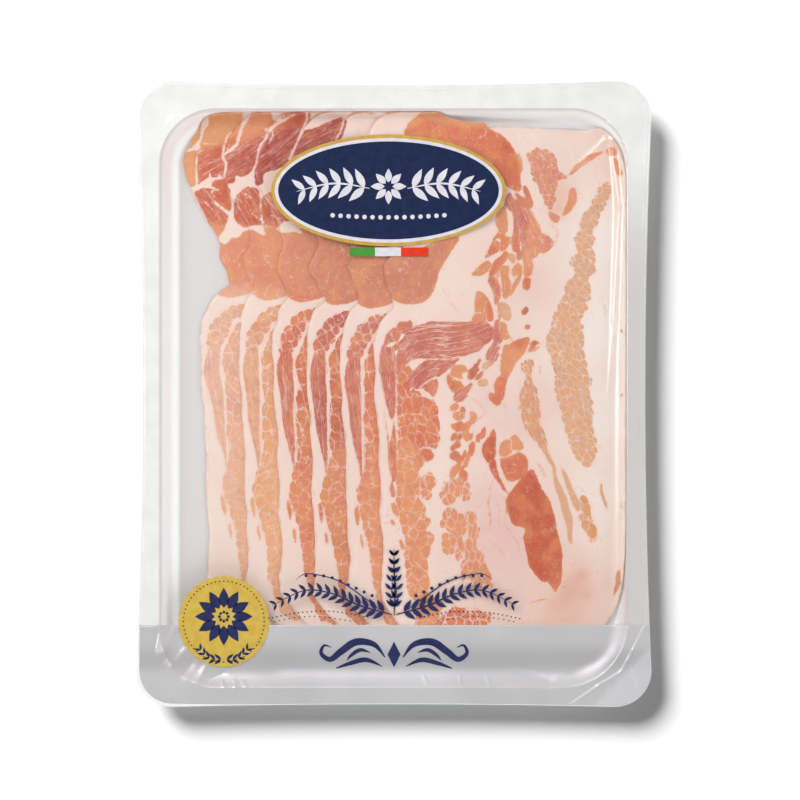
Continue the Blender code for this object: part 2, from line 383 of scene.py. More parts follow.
def makeTray():
    rings = []
    flange = -99 * mm  # the depth that the whole flange is given
    for inset, drop in tray["rim"]:
        rings.append((packLoop(inset * mm), tray["top"] + drop * mm, flange))
    for step in range(-3, 4):
        inset = tray["beadInset"] + step / 3 * tray["beadWidth"]
        lift = tray["bead"] * math.cos(step / 3 * math.pi / 2) ** 2
        rings.append((packLoop(inset), tray["top"] + lift, flange))
    for depth, height in tray["wall"]:
        rings.append((mouthLoop(depth * mm), height * mm, depth * mm))
    count = len(rings[0][0])
    points = [(x, y, height) for loop, height, _ in rings for x, y in loop]
    depths = [depth for loop, _, depth in rings for _ in loop]
    faces = []
    for row in range(len(rings) - 1):
        for i in range(count):
            j = (i + 1) % count
            base = row * count
            faces.append((base + i, base + j, base + count + j, base + count + i))
    faces.append(tuple((len(rings) - 1) * count + i for i in range(count)))
    piece = meshObject("traySheet", points, faces)
    piece.data.polygons[-1].use_smooth = False  # the flat floor
    layer = piece.data.attributes.new("depth", "FLOAT", "POINT")
    layer.data.foreach_set("value", np.array(depths, np.float32) / mm)
    solidify = piece.modifiers.new("thickness", "SOLIDIFY")
    solidify.thickness = tray["thickness"]
    solidify.offset = -1
    return finished(piece, "trayShell")


def finished(piece, name):
    # the piece with its modifiers applied, as a plain mesh
    graph = bpy.context.evaluated_depsgraph_get()
    mesh = bpy.data.meshes.new_from_object(piece.evaluated_get(graph))
    result = bpy.data.objects.new(name, mesh)
    packPieces.objects.link(result)
    bpy.data.objects.remove(piece)
    return result


def trayFinish():
    finish = Finish("whiteTray", Roughness=0.38)
    spot = finish.place()
    depth = finish.attribute("depth")
    mottle = finish.noise(spot, 9, 3)
    base = finish.blend(mottle.between(0.3, 0.7), linear(233, 233, 232), linear(241, 241, 240))
    # the wall and floor inside the mouth are painted whiter and a little blue: painted light that stands
    # in for light through the thin wall and cancels the pink light thrown back from the meat
    base = finish.blend(depth.between(0.0, 1.0), base, linear(248, 252, 254))
    # the wall glows a little near its rim and towards its foot: painted light, an emission that stands in
    # for light through the thin wall and lifts the shade at the wall's foot
    through = depth.between(0.4, 1.4) * 0.09 + depth.between(3.0, 4.6) * 0.12
    through = through * (1 - depth.between(5.6, 7.4))
    finish.set("Emission Color", finish.blend(through, (0, 0, 0), (1, 1, 1)))
    finish.set("Emission Strength", 1.0)
    line = depth.between(-0.75, -0.35) * (1 - depth.between(-0.1, 0.3))
    split = finish.add("ShaderNodeSeparateXYZ", None, {"Vector": spot}).socket.node.outputs
    acrossPack, alongPack = Wire(finish, split["X"]), Wire(finish, split["Y"])
    # the flange's right side, below its upper end, is painted grey: painted shadow, the shadow on the
    # floor beneath seen through the thin plastic
    paintedShadowRight = acrossPack.between(85.5, 90.5) * (1 - alongPack.between(40, 100)) * 0.9
    base = finish.blend(paintedShadowRight, base, linear(206, 204, 202))
    # the floor of the tray is painted greyer than the rest: painted shade at the bottom of the tray
    base = finish.blend(depth.between(4, 8.5), base, linear(214, 210, 210))
    finish.set("Base Color", finish.blend(line * 0.55, base, linear(205, 178, 172)))
    finish.bump(finish.noise(spot, 0.8, 2), 0.02 * mm)
    return finish.material


pile = {
    "count": 6, "left": (199, 238, 272, 306, 340, 374), "drift": 2.8, "step": 13.2 * mm,
    "floor": 1.1 * mm, "pitch": 1.3 * mm, "thickness": 1.12 * mm, "edge": 0.8 * mm,
    "meshStep": 0.75 * mm, "topLap": 0.4 * mm,
    "outlineLeft": 374, "outlineWidth": 250, "leftHalf": 480,  # of the outline below, in drawing units
    "driftFrom": 112, "driftRun": 120, "waists": (13, -6, -7, -6, -1, 0), "waistY": 270, "waistReach": 28,
    "slant": (8, -2, 0, -2, 0, 0), "slantFrom": 370, "slantRun": 150,
    "lobes": (9, 5, 3, 2, 1, 0), "lobeY": 312, "lobeReach": 18, "lobeRight": 400,
    "swingFrom": 598, "swingReach": 8, "stripFrom": 292, "stripFade": 20,
    # the left edge's unevenness: size, rate and turn from slice to slice
    "ripples": ((0.9, 0.11, 2.2), (0.6, 0.31, 1)), "rippleSpan": (112, 640), "rim": 0.35,
    # where the lean is deeper on the pack: centre, reach and strength
    "deepSpots": ((345, 262, 46, 0.9), (430, 262, 40, 0.9), (300, 400, 30, 0.5), (330, 420, 26, 0.6)),
}

# one slice's outline in drawing units
sliceOutline = (
    (376, 655), (378, 632), (379, 616), (380, 602), (381, 588), (383, 560), (380, 510), (379, 450),
    (375, 400), (374, 350), (376, 335), (380, 322), (386, 313), (393, 307), (392, 298), (389, 288),
    (384, 275), (384, 265), (388, 256), (386, 245), (380, 232), (370, 212), (362, 195), (358, 175),
    (359, 158), (366, 138), (374, 122), (386, 114), (404, 112), (424, 112), (437, 112), (452, 117),
    (472, 121), (484, 121), (489, 126), (500, 125), (530, 126), (560, 128), (590, 128), (600, 127),
    (608, 132), (616, 141), (622, 154), (625.5, 172), (626.3, 190), (626.3, 300), (626, 400),
    (626, 480), (625.5, 540), (624, 570), (620, 600), (611, 622), (598, 640), (579, 655), (554, 662),
    (474, 668), (404, 666)
)

lean = {
    "ruby": linear(184, 80, 73), "brick": linear(201, 98, 71), "wine": linear(174, 69, 65),
    "paleTan": linear(232, 190, 162), "tan": linear(221, 182, 154), "orange": linear(226, 154, 116),
    "salmon": linear(224, 149, 120), "vivid": linear(200, 93, 66), "red": linear(216, 121, 90),
    "mauve": linear(206, 120, 106), "deep": linear(188, 100, 90), "trace": linear(218, 164, 150),
    "stain": linear(196, 136, 92), "blush": linear(238, 190, 172), "amber": linear(226, 166, 118),
    "rose": linear(218, 148, 128), "brown": linear(216, 164, 132), "sand": linear(236, 190, 146),
}
muscles, gaps = [], []
allSlices, topSlice, lowerSlices = (0, 1, 2, 3, 4, 5), (5,), (0, 1, 2, 3, 4)


# a muscle is plain, streaky with fibres along its grain, or cobbled with many cells; cell is the size
# of one in mm, seam the width of the fat between them, veins the strength of the marbling, grow an
# extra margin in mm, and on the slices that have it
def muscle(colour, kind, outline=None, spine=None, cell=(2.3, 2.9), angle=0, seam=0.1, veins=1.0,
           on=allSlices, grow=0.0):
    muscles.append({
        "colour": colour, "kind": kind, "outline": outline, "spine": spine, "grow": grow,
        "cell": cell, "angle": angle, "seam": seam, "veins": veins, "on": on,
    })


def islands(colour, *outlines, veins=0.8, grow=0.12, on=allSlices):
    for outline in outlines:
        muscle(colour, "plain", outline, veins=veins, grow=grow, on=on)


def fatGap(*lines, on=allSlices):
    # fat that parts the muscles, each point with its half-width
    for line in lines:
        gaps.append({"outline": None, "spine": line, "angle": 0, "on": on})


def fatPatch(*outlines, on=allSlices):
    for outline in outlines:
        gaps.append({"outline": outline, "spine": None, "angle": 0, "on": on})


# the lower slices show a strip: knots at the head, a streaky bundle and a stack of larger knots
muscle("mauve", "cobbled", (
    (382, 362), (382, 350), (386, 338), (392, 329), (399, 322), (406, 318), (414, 316), (426, 318),
    (428, 328), (418, 330), (409, 331), (405, 339), (401, 348), (396, 356), (392, 362)
), cell=(3.5, 3.9), angle=30, seam=0.06, on=lowerSlices)
muscle("mauve", "streaky", (
    (388, 352), (383, 360), (379, 372), (378, 386), (381, 404), (383, 420), (385, 436), (389, 453),
    (393, 470), (395, 484), (396, 470), (396, 453), (395.5, 436), (395, 420), (395, 400), (394, 384),
    (394, 368), (393, 358)
), angle=6, on=lowerSlices)
muscle("red", "cobbled", (
    (398, 384), (397, 372), (400, 358), (405, 347), (412, 338), (424, 334), (436, 340), (440, 400),
    (440, 452), (420, 456), (399, 452), (399, 436), (398, 420), (399, 400)
), cell=(4.4, 6.4), angle=14, seam=0.05, on=lowerSlices)
muscle("orange", "cobbled", (
    (399, 444), (408, 438), (420, 434), (438, 440), (438, 500), (434, 540), (434, 575), (436, 600),
    (456, 630), (424, 630), (409, 600), (406, 578), (404, 560), (400, 540), (395, 520), (391, 506),
    (391, 494), (396, 478), (399, 464)
), cell=(4.6, 4.6), angle=-10, seam=0.02, on=lowerSlices)
muscle("red", "plain", ((388, 512), (391, 510), (393, 524), (391, 530), (389, 522)), on=lowerSlices)
muscle("orange", "plain", ((394, 540), (396, 538), (398, 548), (397, 553), (395, 548)), on=lowerSlices)

# cap cells and the bundle along the left edge of the top slice
muscle("mauve", "plain", (
    (397, 325), (399, 322), (404, 321), (407, 322), (410, 320), (412, 322), (412, 327), (407, 333),
    (402, 334), (399, 330)
), on=topSlice)
muscle("mauve", "plain", (
    (385, 338), (389, 331), (395, 327), (398, 329), (401, 335), (397, 341), (392, 342), (388, 344),
    (384, 345)
), on=topSlice)
muscle("mauve", "plain", ((393.5, 346), (398, 342), (398, 349), (395, 350)), on=topSlice)
muscle("mauve", "streaky", (
    (383, 344), (380, 353), (379, 366), (381, 380), (384, 396), (388, 412), (391, 420), (394.5, 416),
    (395.5, 404), (395.5, 390), (395.5, 375), (395.5, 356), (391, 347), (388, 347)
), angle=8, on=topSlice)
muscle("red", "streaky", (
    (383.5, 411), (385, 422), (387, 436), (387.5, 448), (388, 460), (390, 472), (393, 482), (397, 478),
    (397.5, 464), (396.5, 450), (396, 435), (393.5, 420), (392, 432), (390, 442), (386.5, 424)
), angle=6, on=topSlice)
muscle("mauve", "plain", (
    (390, 484), (392, 480), (394, 487), (395, 495), (393, 498), (390, 492)
), on=topSlice)
muscle("orange", "plain", (
    (391, 504), (395, 503), (398, 510), (399, 517), (395, 515), (392, 510)
), on=topSlice)
muscle("orange", "plain", ((390, 521), (393, 520), (396, 525), (392, 526)), on=topSlice)
muscle("orange", "plain", ((399, 541), (402, 540), (404, 548), (402, 551)), on=topSlice)

# the flowing muscle and what hangs under it
muscle("mauve", "streaky", spine=(
    (399, 372, 3), (403, 358, 7), (410, 348, 12.5), (420, 342, 17), (434, 340, 19), (448, 340, 18.5),
    (460, 339, 17.5), (472, 337, 15.5), (482, 333, 12), (489, 331, 6)
), veins=1.5, on=topSlice)
muscle("mauve", "streaky", spine=(
    (408, 402, 3), (412, 390, 7), (419, 379, 10), (429, 371, 11), (441, 365, 8.5), (452, 361, 4.5),
    (458, 359, 1.5)
), veins=1.2, on=topSlice)
muscle("red", "streaky", (
    (424, 390), (428, 383), (437, 379), (438, 388), (434, 397), (429, 393)
), angle=-30, on=topSlice)
fatGap(
    ((405, 366, 0.5), (411, 360, 0.6), (420, 359, 0.4), (432, 359, 0.6), (446, 359.5, 0.8),
     (457, 357.5, 0.9)),
    ((410, 391, 0.5), (413, 387, 0.9), (416, 390, 0.8), (422, 390, 1.2), (429, 395, 1.2),
     (434, 399, 1)), ((418, 390, 0.8), (424, 384, 0.9), (430, 380, 0.8), (437, 377, 0.8)),
    on=topSlice)

# the long cobbled column beside the bundle
muscle("red", "cobbled", (
    (398, 372), (402, 366), (412, 368), (413, 384), (420, 392), (428, 399), (434, 401), (439, 408),
    (438, 418), (441, 428), (441, 440), (437, 448), (431, 447), (422, 448), (418, 452), (412, 448),
    (399, 450), (398, 445), (399, 430), (397, 415), (398, 400), (397, 385)
), cell=(3.6, 5.4), angle=12, seam=0.045, on=topSlice)
muscle("orange", "cobbled", (
    (400, 440), (410, 438), (418, 446), (424, 465), (420, 470), (419, 488), (421, 500), (426, 508),
    (425, 515), (430, 522), (428, 530), (433, 537), (432, 545), (427, 560), (429, 575), (430, 597),
    (444, 602), (440, 612), (440, 627), (416, 626), (418, 606), (409, 596), (407, 580), (406, 567),
    (405, 555), (406, 540), (402, 530), (400, 518), (397, 505), (397, 490), (396, 475), (398, 460)
), cell=(4.2, 4.8), angle=-8, seam=0.03, on=topSlice)
muscle("red", "plain", (
    (420, 452), (424, 448), (431, 450), (434, 456), (431, 461), (424, 461), (420, 458)
), on=topSlice)
muscle("orange", "cobbled", (
    (420, 480), (423, 473), (430, 471), (435, 476), (436, 484), (432, 490), (433, 495), (428, 499),
    (422, 497), (422, 488)
), cell=(5, 5), seam=0.05, on=topSlice)
muscle("red", "cobbled", (
    (441, 627), (440, 618), (450, 612), (454, 605), (460, 610), (467, 607), (468, 613), (478, 608),
    (482, 614), (492, 615), (489, 622), (482, 627)
), cell=(3.4, 3.6), on=topSlice)

# the broken column
islands("orange",
    ((451, 372), (455, 366), (461, 365), (466, 367), (467, 371), (462, 373), (463, 379), (457, 377),
     (452, 376)), ((450, 408), (453, 404), (458, 404), (459, 408), (456, 411), (452, 411)),
    ((454, 413), (459, 412), (464, 413), (465, 417), (461, 420), (456, 420), (453, 417)),
    ((470, 412), (474, 412), (477, 416), (475, 422), (470, 427), (467, 433), (463, 431), (465, 424),
     (471, 419)), ((464, 432), (469, 432), (470, 438), (467, 442), (464, 438)),
    ((466, 459), (469, 451), (470, 458), (467, 467), (464, 466)),
    ((450, 473), (453, 467), (458, 464), (461, 467), (457, 474), (453, 479), (450, 477)))
islands("red",
    ((447, 377), (449, 374), (453, 379), (459, 381), (463, 385), (464, 388), (459, 388), (456, 392),
     (452, 391), (448, 384)),
    ((451, 425), (456, 423), (461, 421), (464, 425), (463, 430), (459, 432), (455, 430), (452, 428)),
    ((451, 436), (455, 433), (457, 436), (454, 441), (451, 440)),
    ((470, 436), (473, 433), (472, 440), (470, 440)),
    ((450, 449), (453, 445), (459, 443), (461, 446), (456, 449), (452, 451)),
    ((470, 444), (474, 441), (475, 448), (473, 455), (470, 456), (469, 450)),
    ((463, 453), (466, 450), (465, 458), (462, 462)),
    ((463, 474), (466, 471), (468, 476), (466, 482), (463, 480)),
    ((461, 468), (464, 466), (463, 474), (460, 480), (459, 474)))
islands("mauve",
    ((461, 408), (464, 407), (466, 412), (462, 412)),
    ((457, 437), (461, 433), (462, 437), (459, 443), (456, 443)),
    ((450, 455), (454, 451), (458, 452), (462, 458), (460, 464), (454, 460), (451, 459)),
    ((475, 379), (477, 376), (482, 371), (483, 374), (480, 379), (476, 380)))
muscle("mauve", "streaky", (
    (454, 396), (457, 391), (461, 389), (467, 386), (471, 383), (473, 385), (469, 391), (467, 397),
    (462, 401), (458, 402), (454, 400)
), angle=-50, grow=0.1)
islands("deep",
    ((468, 377), (469, 370), (473, 368), (479, 369), (477, 374), (473, 379), (470, 379)),
    ((473, 366), (477, 363), (479, 364), (478, 367), (474, 368)),
    ((478, 360), (480, 359), (481, 361), (479, 363)))
islands("tan",
    ((483, 366), (486, 362), (493, 361), (494, 363), (489, 367), (485, 370), (483, 368)),
    ((478, 382), (481, 380), (486, 379), (488, 383), (486, 386), (480, 386)))
muscle("orange", "cobbled", (
    (456, 478), (464, 482), (470, 486), (470, 497), (464, 501), (460, 492), (456, 486)
), cell=(2.1, 3.8), angle=-10, seam=0.09)
muscle("orange", "cobbled", (
    (440, 494), (444, 484), (452, 479), (460, 482), (462, 492), (457, 500), (449, 506), (443, 503)
), cell=(2.8, 4.1), angle=30, seam=0.09)
muscle("orange", "cobbled", (
    (445, 510), (454, 508), (459, 514), (466, 517), (466, 530), (462, 540), (465, 548), (459, 562),
    (456, 556), (458, 545), (454, 537), (448, 530), (441, 528), (443, 518)
), cell=(2.7, 4.6), seam=0.085)
muscle("orange", "cobbled", (
    (441, 545), (443, 535), (450, 533), (456, 538), (456, 548), (450, 556), (444, 553)
), cell=(3.1, 3.1), seam=0.085)
muscle("orange", "cobbled", (
    (467, 514), (472, 509), (477, 520), (479, 533), (475, 543), (479, 551), (484, 556), (484, 566),
    (489, 574), (484, 584), (480, 590), (474, 586), (470, 578), (462, 582), (460, 570), (466, 556),
    (465, 545), (469, 532)
), cell=(2.1, 5.2), angle=-6, seam=0.09)
muscle("red", "plain", (
    (482, 563), (485, 563), (489, 571), (492, 578), (490, 580), (487, 577), (483, 570)
))
muscle("orange", "plain", ((484, 578), (489, 580), (494, 586), (492, 588), (486, 584)))

# the vivid group in the middle
islands("vivid",
    ((494, 429), (496, 438), (496, 450), (495, 458), (489, 463), (484, 457), (482, 450), (485, 442),
     (490, 436)),
    ((489, 465), (493, 460), (496, 459), (497, 468), (500, 477), (505, 487), (508, 494), (504, 491),
     (499, 483), (493, 474)),
    veins=0.5)
islands("red",
    ((481, 436), (482, 430), (485, 427), (486, 430), (485, 436), (482, 439)),
    ((476, 437), (481, 433), (480, 440), (478, 443)))
islands("orange",
    ((500, 455), (500, 447), (503, 442), (509, 440), (512, 446), (511, 454), (507, 457)),
    ((512, 437), (516, 435), (521, 441), (524, 448), (517, 451), (513, 448), (511, 442)),
    veins=0.5)
muscle("red", "plain", (
    (500, 460), (505, 457), (512, 456), (520, 452), (527, 458), (529, 468), (526, 475), (521, 479),
    (513, 482), (507, 480), (503, 472)
), veins=1.0)
fatGap(
    ((498, 459, 0.5), (506, 457.5, 0.7), (512, 454, 0.9), (515, 451.5, 1.4), (521, 450, 0.4)),
    ((512, 440, 0.5), (512, 450, 0.7)))
muscle("vivid", "plain", (
    (530, 470), (535, 471), (538, 478), (543, 490), (550, 500), (555, 515), (559, 535), (563, 552),
    (563, 570), (562, 583), (558, 590), (556, 593), (552, 588), (548, 583), (543, 583), (535, 575),
    (529, 565), (526, 550), (524, 538), (526, 530), (520, 527), (513, 525), (509, 515), (506, 505),
    (508, 497), (513, 490), (518, 483), (525, 475)
), veins=0.6, angle=-15)
muscle("orange", "plain", (
    (503, 350), (505, 344), (512, 344), (520, 346), (526, 350), (522, 357), (516, 364), (512, 372),
    (507, 379), (501, 376), (501, 362)
), veins=0.3)
muscle("red", "plain", (
    (511, 343), (522, 338), (530, 337), (529, 344), (524, 352), (516, 350)
), veins=0.4)
muscle("red", "plain", (
    (500, 376), (508, 377), (506, 386), (505, 394), (502, 402), (498, 405.5), (494, 404), (490, 400),
    (489, 395), (491, 392.5), (495, 394), (494, 386), (496, 380)
), veins=0.3)
muscle("vivid", "plain", (
    (532, 341), (536, 340), (542, 343), (537, 345), (533, 351), (529, 350), (531, 345)
))
muscle("mauve", "streaky", (
    (495, 321), (499, 320), (500, 330), (503, 341), (500, 350), (499, 356), (496, 361), (488, 360),
    (486, 357), (488, 350), (493, 343), (494, 333)
), angle=-25)
fatGap(
    ((504, 343, 0.8), (500, 349, 0.5), (497, 354, 0.4)),
    ((513, 338, 1), (505, 341.5, 1.2), (498, 346, 0.5)))
islands("tan",
    ((500, 303), (504, 302), (509, 305), (511, 311), (511, 319), (506, 320), (503, 317), (500, 312)),
    ((508, 255), (512, 253), (515, 256), (515, 261), (513, 263), (510, 259)))
islands("orange",
    ((499, 303), (500, 311), (501, 320), (499, 318), (498, 310)),
    ((501, 322), (507, 325), (508, 333), (513, 339), (506, 341), (501, 334)))
muscle("orange", "plain", (
    (478, 291), (483, 293), (488, 299), (487, 308), (486, 316), (484, 322), (478, 321), (472, 320),
    (475, 312), (475, 303), (476, 296)
), veins=0.5, grow=0.1)
muscle("red", "plain", (
    (486, 296), (490, 302), (493, 310), (494, 320), (489, 321), (486, 316), (486, 306)
), veins=0.5, grow=0.1)
fatGap(
    ((486, 301, 0.4), (485, 309, 0.5), (486, 315, 0.6), (488, 321, 0.6)),
    ((475, 312, 0.5), (480, 312, 0.5), (484, 315, 0.5)))
muscle("deep", "plain", ((523, 314), (522, 310), (527, 306), (529, 308), (528, 313), (524, 315)))
muscle("deep", "plain", ((525, 326), (528, 324), (531, 326), (529, 329), (526, 329)))

# tan spindles at the right of the middle
muscle("brown", "cobbled", (
    (526, 362), (531, 361), (533, 366), (531, 373), (533, 382), (536, 392), (538, 404), (541, 416),
    (541, 426), (545, 438), (548, 449), (545, 450), (540, 446), (535, 440), (529, 432), (525, 421),
    (522, 411), (520, 401), (523, 391), (527, 381), (526, 373), (523, 366)
), angle=16, cell=(1.7, 5.5), seam=0.06, grow=0.4)
muscle("tan", "plain", spine=((544, 448, 2), (549, 457, 2.2), (554, 466, 1.5), (557, 474, 1.2)))
muscle("tan", "plain", (
    (553, 466), (557, 475), (561, 485), (567, 497), (570, 509), (574, 520), (573, 535), (573, 545),
    (569, 540), (567, 525), (563, 512), (560, 500), (556, 488), (554, 478)
), veins=0.3)
muscle("tan", "plain", (
    (562, 468), (567, 474), (571, 482), (574, 490), (578, 497), (581, 505), (580, 512), (577, 511),
    (573, 503), (570, 495), (566, 484)
), veins=0.3)
muscle("amber", "cobbled", (
    (583, 497), (588, 499), (592, 506), (593, 513), (595, 521), (597, 530), (597, 538), (594, 543),
    (590, 540), (586, 532), (583, 522), (585, 515), (581, 507)
), cell=(5, 6), seam=0.05)
muscle("tan", "plain", ((580, 516), (583, 514), (584, 520), (581, 522)))
muscle("tan", "plain", spine=((539, 464, 0.7), (543, 471, 1), (546, 477, 0.6)))

# the large cobbled band
muscle("tan", "cobbled", (
    (612, 182), (605, 183), (600, 188), (595, 197), (590, 207), (584, 213), (580, 222), (580, 230),
    (576, 238), (576, 244), (578, 250), (573, 255), (571, 261), (574, 268), (576, 276), (566, 281),
    (565, 295), (561, 300), (558, 310), (554, 318), (553, 325), (548, 332), (546, 345), (551, 355),
    (552, 362), (555, 370), (556, 385), (558, 398), (560, 408), (563, 418), (566, 430), (570, 442),
    (574, 452), (579, 460), (585, 466), (592, 467), (596, 462), (597, 450), (597, 440), (594, 430),
    (594, 415), (593, 400), (590, 395), (592, 380), (588, 370), (587, 360), (585, 352), (584, 345),
    (585, 338), (583, 325), (582, 318), (587, 310), (590, 300), (592, 292), (590, 280), (595, 272),
    (596, 262), (595, 250), (596, 240), (593, 232), (598, 225), (600, 215), (604, 208), (608, 200),
    (613, 190)
), cell=(3.6, 2.5), angle=-40, seam=0.055)

# the upper right cluster
muscle("red", "plain", (
    (424, 113), (437, 113), (452, 118), (472, 122), (484, 122), (489, 127), (500, 133), (506, 138),
    (512, 146), (518, 158), (520, 170), (521, 185), (521, 190), (512, 188), (500, 180), (485, 160),
    (465, 148), (440, 140), (410, 138), (404, 130), (414, 122)
), veins=0.8, angle=-55)
muscle("amber", "plain", (
    (424, 112), (437, 112), (452, 117), (472, 121), (486, 122), (488, 128), (470, 130), (450, 129),
    (430, 124), (412, 130), (408, 124)
), veins=0.4, grow=0.3)
muscle("tan", "plain", ((518, 150), (521, 155), (524, 165), (521, 172), (520, 162)))
muscle("rose", "cobbled", (
    (529, 152), (533, 149), (540, 147), (547, 149), (553, 152), (557, 160), (558, 168), (563, 171),
    (568, 175), (562, 179), (557, 184), (556, 196), (553, 208), (548, 206), (544, 197), (541, 190),
    (536, 183), (533, 175), (532, 166), (528, 160)
), cell=(2.2, 3.0), angle=12, seam=0.03)
muscle("vivid", "plain", (
    (498, 142), (508, 140), (515, 150), (520, 162), (521, 178), (521, 190), (512, 188), (504, 178),
    (499, 160)
), veins=0.8)
muscle("orange", "plain", (
    (570, 190), (574, 186), (577, 190), (578, 198), (575, 206), (570, 212), (563, 215), (566, 206),
    (569, 199)
), veins=0.3)
muscle("rose", "plain", ((549, 211), (555, 212), (561, 216), (558, 222), (552, 220)), veins=0.3)
muscle("orange", "streaky", spine=(
    (571, 173, 1.4), (579, 165, 2.8), (588, 158, 3.4), (596, 154, 2.4), (603, 151, 1)
))
muscle("orange", "plain", ((608, 148), (613, 146), (617, 149), (617, 154), (612, 155), (608, 152)))
muscle("orange", "plain", ((614, 157), (618, 159), (621, 168), (623, 175), (619, 175), (616, 168)))
muscle("mauve", "streaky", (
    (505, 205), (506, 197), (510, 192), (513, 196), (520, 203), (527, 211), (531, 222), (529, 236),
    (525, 247), (521, 240), (517, 228), (514, 215), (509, 208)
), angle=22, grow=0.1)
muscle("orange", "streaky", (
    (526, 209), (531, 209), (536, 218), (541, 228), (543, 240), (541, 250), (536, 257), (531, 257),
    (526, 251), (522, 244), (526, 232), (529, 222)
), angle=24, grow=0.1)
muscle("rose", "plain", (
    (542, 233), (547, 234), (552, 238), (554, 242), (551, 248), (546, 252), (541, 252), (538, 247),
    (541, 240)
), grow=0.1)
muscle("orange", "streaky", (
    (522, 248), (531, 253), (533, 262), (534, 269), (530, 276), (525, 275), (524, 262)
), angle=4, grow=0.1)
fatGap(((541, 236, 0.5), (542.5, 242, 0.4), (545, 247, 0.5)), ((524, 276.5, 0.5), (532, 276.5, 0.5)))
islands("mauve",
    ((516, 193), (520, 194), (526, 199), (532, 204), (529, 209), (524, 206), (518, 199)),
    ((524, 185), (527, 186), (531, 194), (534, 205), (530, 206), (527, 198), (524, 190)),
    ((514, 214), (518, 222), (519, 236), (520, 249), (516, 252), (513, 248), (512, 240), (514, 228)),
    ((518, 248), (521, 250), (522, 257), (519, 260), (517, 256)),
    ((488, 279), (493, 276), (498, 280), (500, 287), (500.5, 296), (498, 304), (495, 303), (494, 294),
     (491, 286)))
islands("red",
    ((486, 256), (489, 249), (493, 242), (497, 240), (500, 244), (499, 250), (493, 254), (487, 257)),
    ((500.5, 250), (501, 242), (502, 238.5), (509, 236), (510, 240), (508, 246), (504, 250)),
    ((500, 234), (505, 234), (506, 237), (502, 238), (499, 238)),
    ((498, 232), (500, 233), (496, 239), (493, 240)),
    ((507, 251), (508, 256), (504, 263), (499, 271), (493, 275), (489, 275), (492, 268), (494, 261),
     (500, 257), (504, 252)),
    ((525, 276.5), (531, 277), (531, 284), (529, 289), (525, 289), (523, 284)))
islands("orange",
    ((472, 274), (478, 267), (485, 262), (490, 261), (490, 267), (486, 272), (480, 275), (475, 275)),
    ((500, 267), (505, 265), (510, 267), (509, 275), (511, 284), (510, 294), (506, 298), (503, 295),
     (502.5, 285), (501, 276)),
    ((512, 271), (515, 265), (519, 263), (522, 267), (523, 273), (520, 281), (516, 288), (511, 296),
     (512, 289), (515, 281), (518, 274), (514, 276)),
    ((499, 210), (504, 206), (507, 214), (508, 224), (507, 232), (502, 232), (498, 227), (496, 219)))

# thin traces in the fat, blushes beside the lean and stains on the rim
def traces(colour, half, *lines):
    for line in lines:
        ends = (line[0], line[-1])
        spine = tuple((*point, half * (0.45 if point in ends else 1)) for point in line)
        muscle(colour, "plain", spine=spine, veins=0, on=topSlice)


traces("trace", 0.55,
    ((494, 478), (490, 490), (489, 504), (491, 518), (490, 530)), ((505, 497), (507, 508), (506, 519)),
    ((497, 500), (500, 512), (499, 524)), ((487, 540), (497, 546), (504, 556)),
    ((470, 545), (480, 552), (486, 548)), ((577, 563), (573, 567)),
    ((470, 398), (478, 402), (487, 412)), ((474, 420), (481, 418), (486, 411)),
    ((550, 222), (556, 227), (559, 231), (557, 239), (554, 245)),
    ((503, 524), (512, 534), (519, 545), (521, 556)), ((450, 303), (456, 308), (459, 312)),
    ((486, 598), (498, 592), (512, 590)), ((530, 604), (545, 600), (556, 603)))
traces("stain", 0.6,
    ((541, 366), (541, 372)), ((563, 590), (568, 586)), ((596, 268), (598, 272)),
    ((492, 521), (492.4, 522)), ((494, 527), (494.4, 528)), ((488, 514), (488.4, 515)))
traces("stain", 1.3,
    ((621, 503), (621.5, 508)), ((620.5, 516), (621, 520)), ((621.5, 329), (622, 332)),
    ((622, 394), (622, 396)))
traces("blush", 1.5, ((603, 484), (602, 490), (604, 497), (607, 505), (608, 510)))
traces("stain", 0.7,
    ((602, 484), (602, 489)), ((603, 494), (605, 501), (607, 507)), ((601, 446), (602, 450)))
traces("blush", 1.4, ((528, 352), (534, 350), (541, 346)), ((498, 300), (494, 290), (500, 268)))
muscle("stain", "plain", (
    (617, 575), (620, 570), (621, 583), (618, 592), (614, 598), (616, 586)
), veins=0, on=topSlice)

# the even muscle across the neck of the slice, and the marbled one above it
muscle("salmon", "plain", (
    (372, 246), (370, 262), (372, 278), (380, 291), (388, 297), (400, 303), (412, 304), (425, 301),
    (433, 292), (437, 280), (441, 268), (452, 250), (460, 236), (440, 240), (424, 246), (412, 252),
    (402, 246), (392, 250), (384, 243)
), veins=0.7, on=topSlice)
muscle("salmon", "plain", (
    (370, 236), (367, 262), (369, 278), (376, 292), (384, 300), (392, 307), (401, 310.5), (412, 309),
    (425, 305), (433, 297), (437, 284), (441, 268), (452, 250), (460, 238), (440, 236), (400, 234)
), veins=0.7, on=lowerSlices)

# the head of the lower slices, drawn as it lies on the pack: one mass of muscles parted by fat
headSlices = ("pack", 0, 1, 2, 3, 4)
muscle("amber", "plain", (
    (180, 146), (184, 137), (188, 130), (193, 123), (200, 121), (202, 128), (199, 136), (194, 142),
    (188, 148)
), veins=0.2, on=headSlices)
muscle("amber", "plain", (
    (174, 160), (179, 150), (187, 148), (195, 149), (198, 160), (200, 172), (198, 184), (192, 187),
    (185, 187), (180, 176)
), veins=0.2, on=headSlices)
muscle("amber", "plain", (
    (204, 122), (210, 113), (222, 111), (250, 109), (246, 122), (240, 133), (232, 140), (218, 146),
    (202, 148), (199, 140)
), veins=0.4, on=headSlices)
muscle("orange", "plain", (
    (246, 116), (254, 111), (272, 110), (274, 118), (270, 127), (262, 131), (254, 140), (240, 146),
    (236, 136), (240, 126)
), veins=0.4, on=headSlices)
muscle("brick", "plain", (
    (224, 139), (230, 132), (237, 133), (240, 140), (234, 146), (227, 147)
), veins=0.4, on=headSlices)
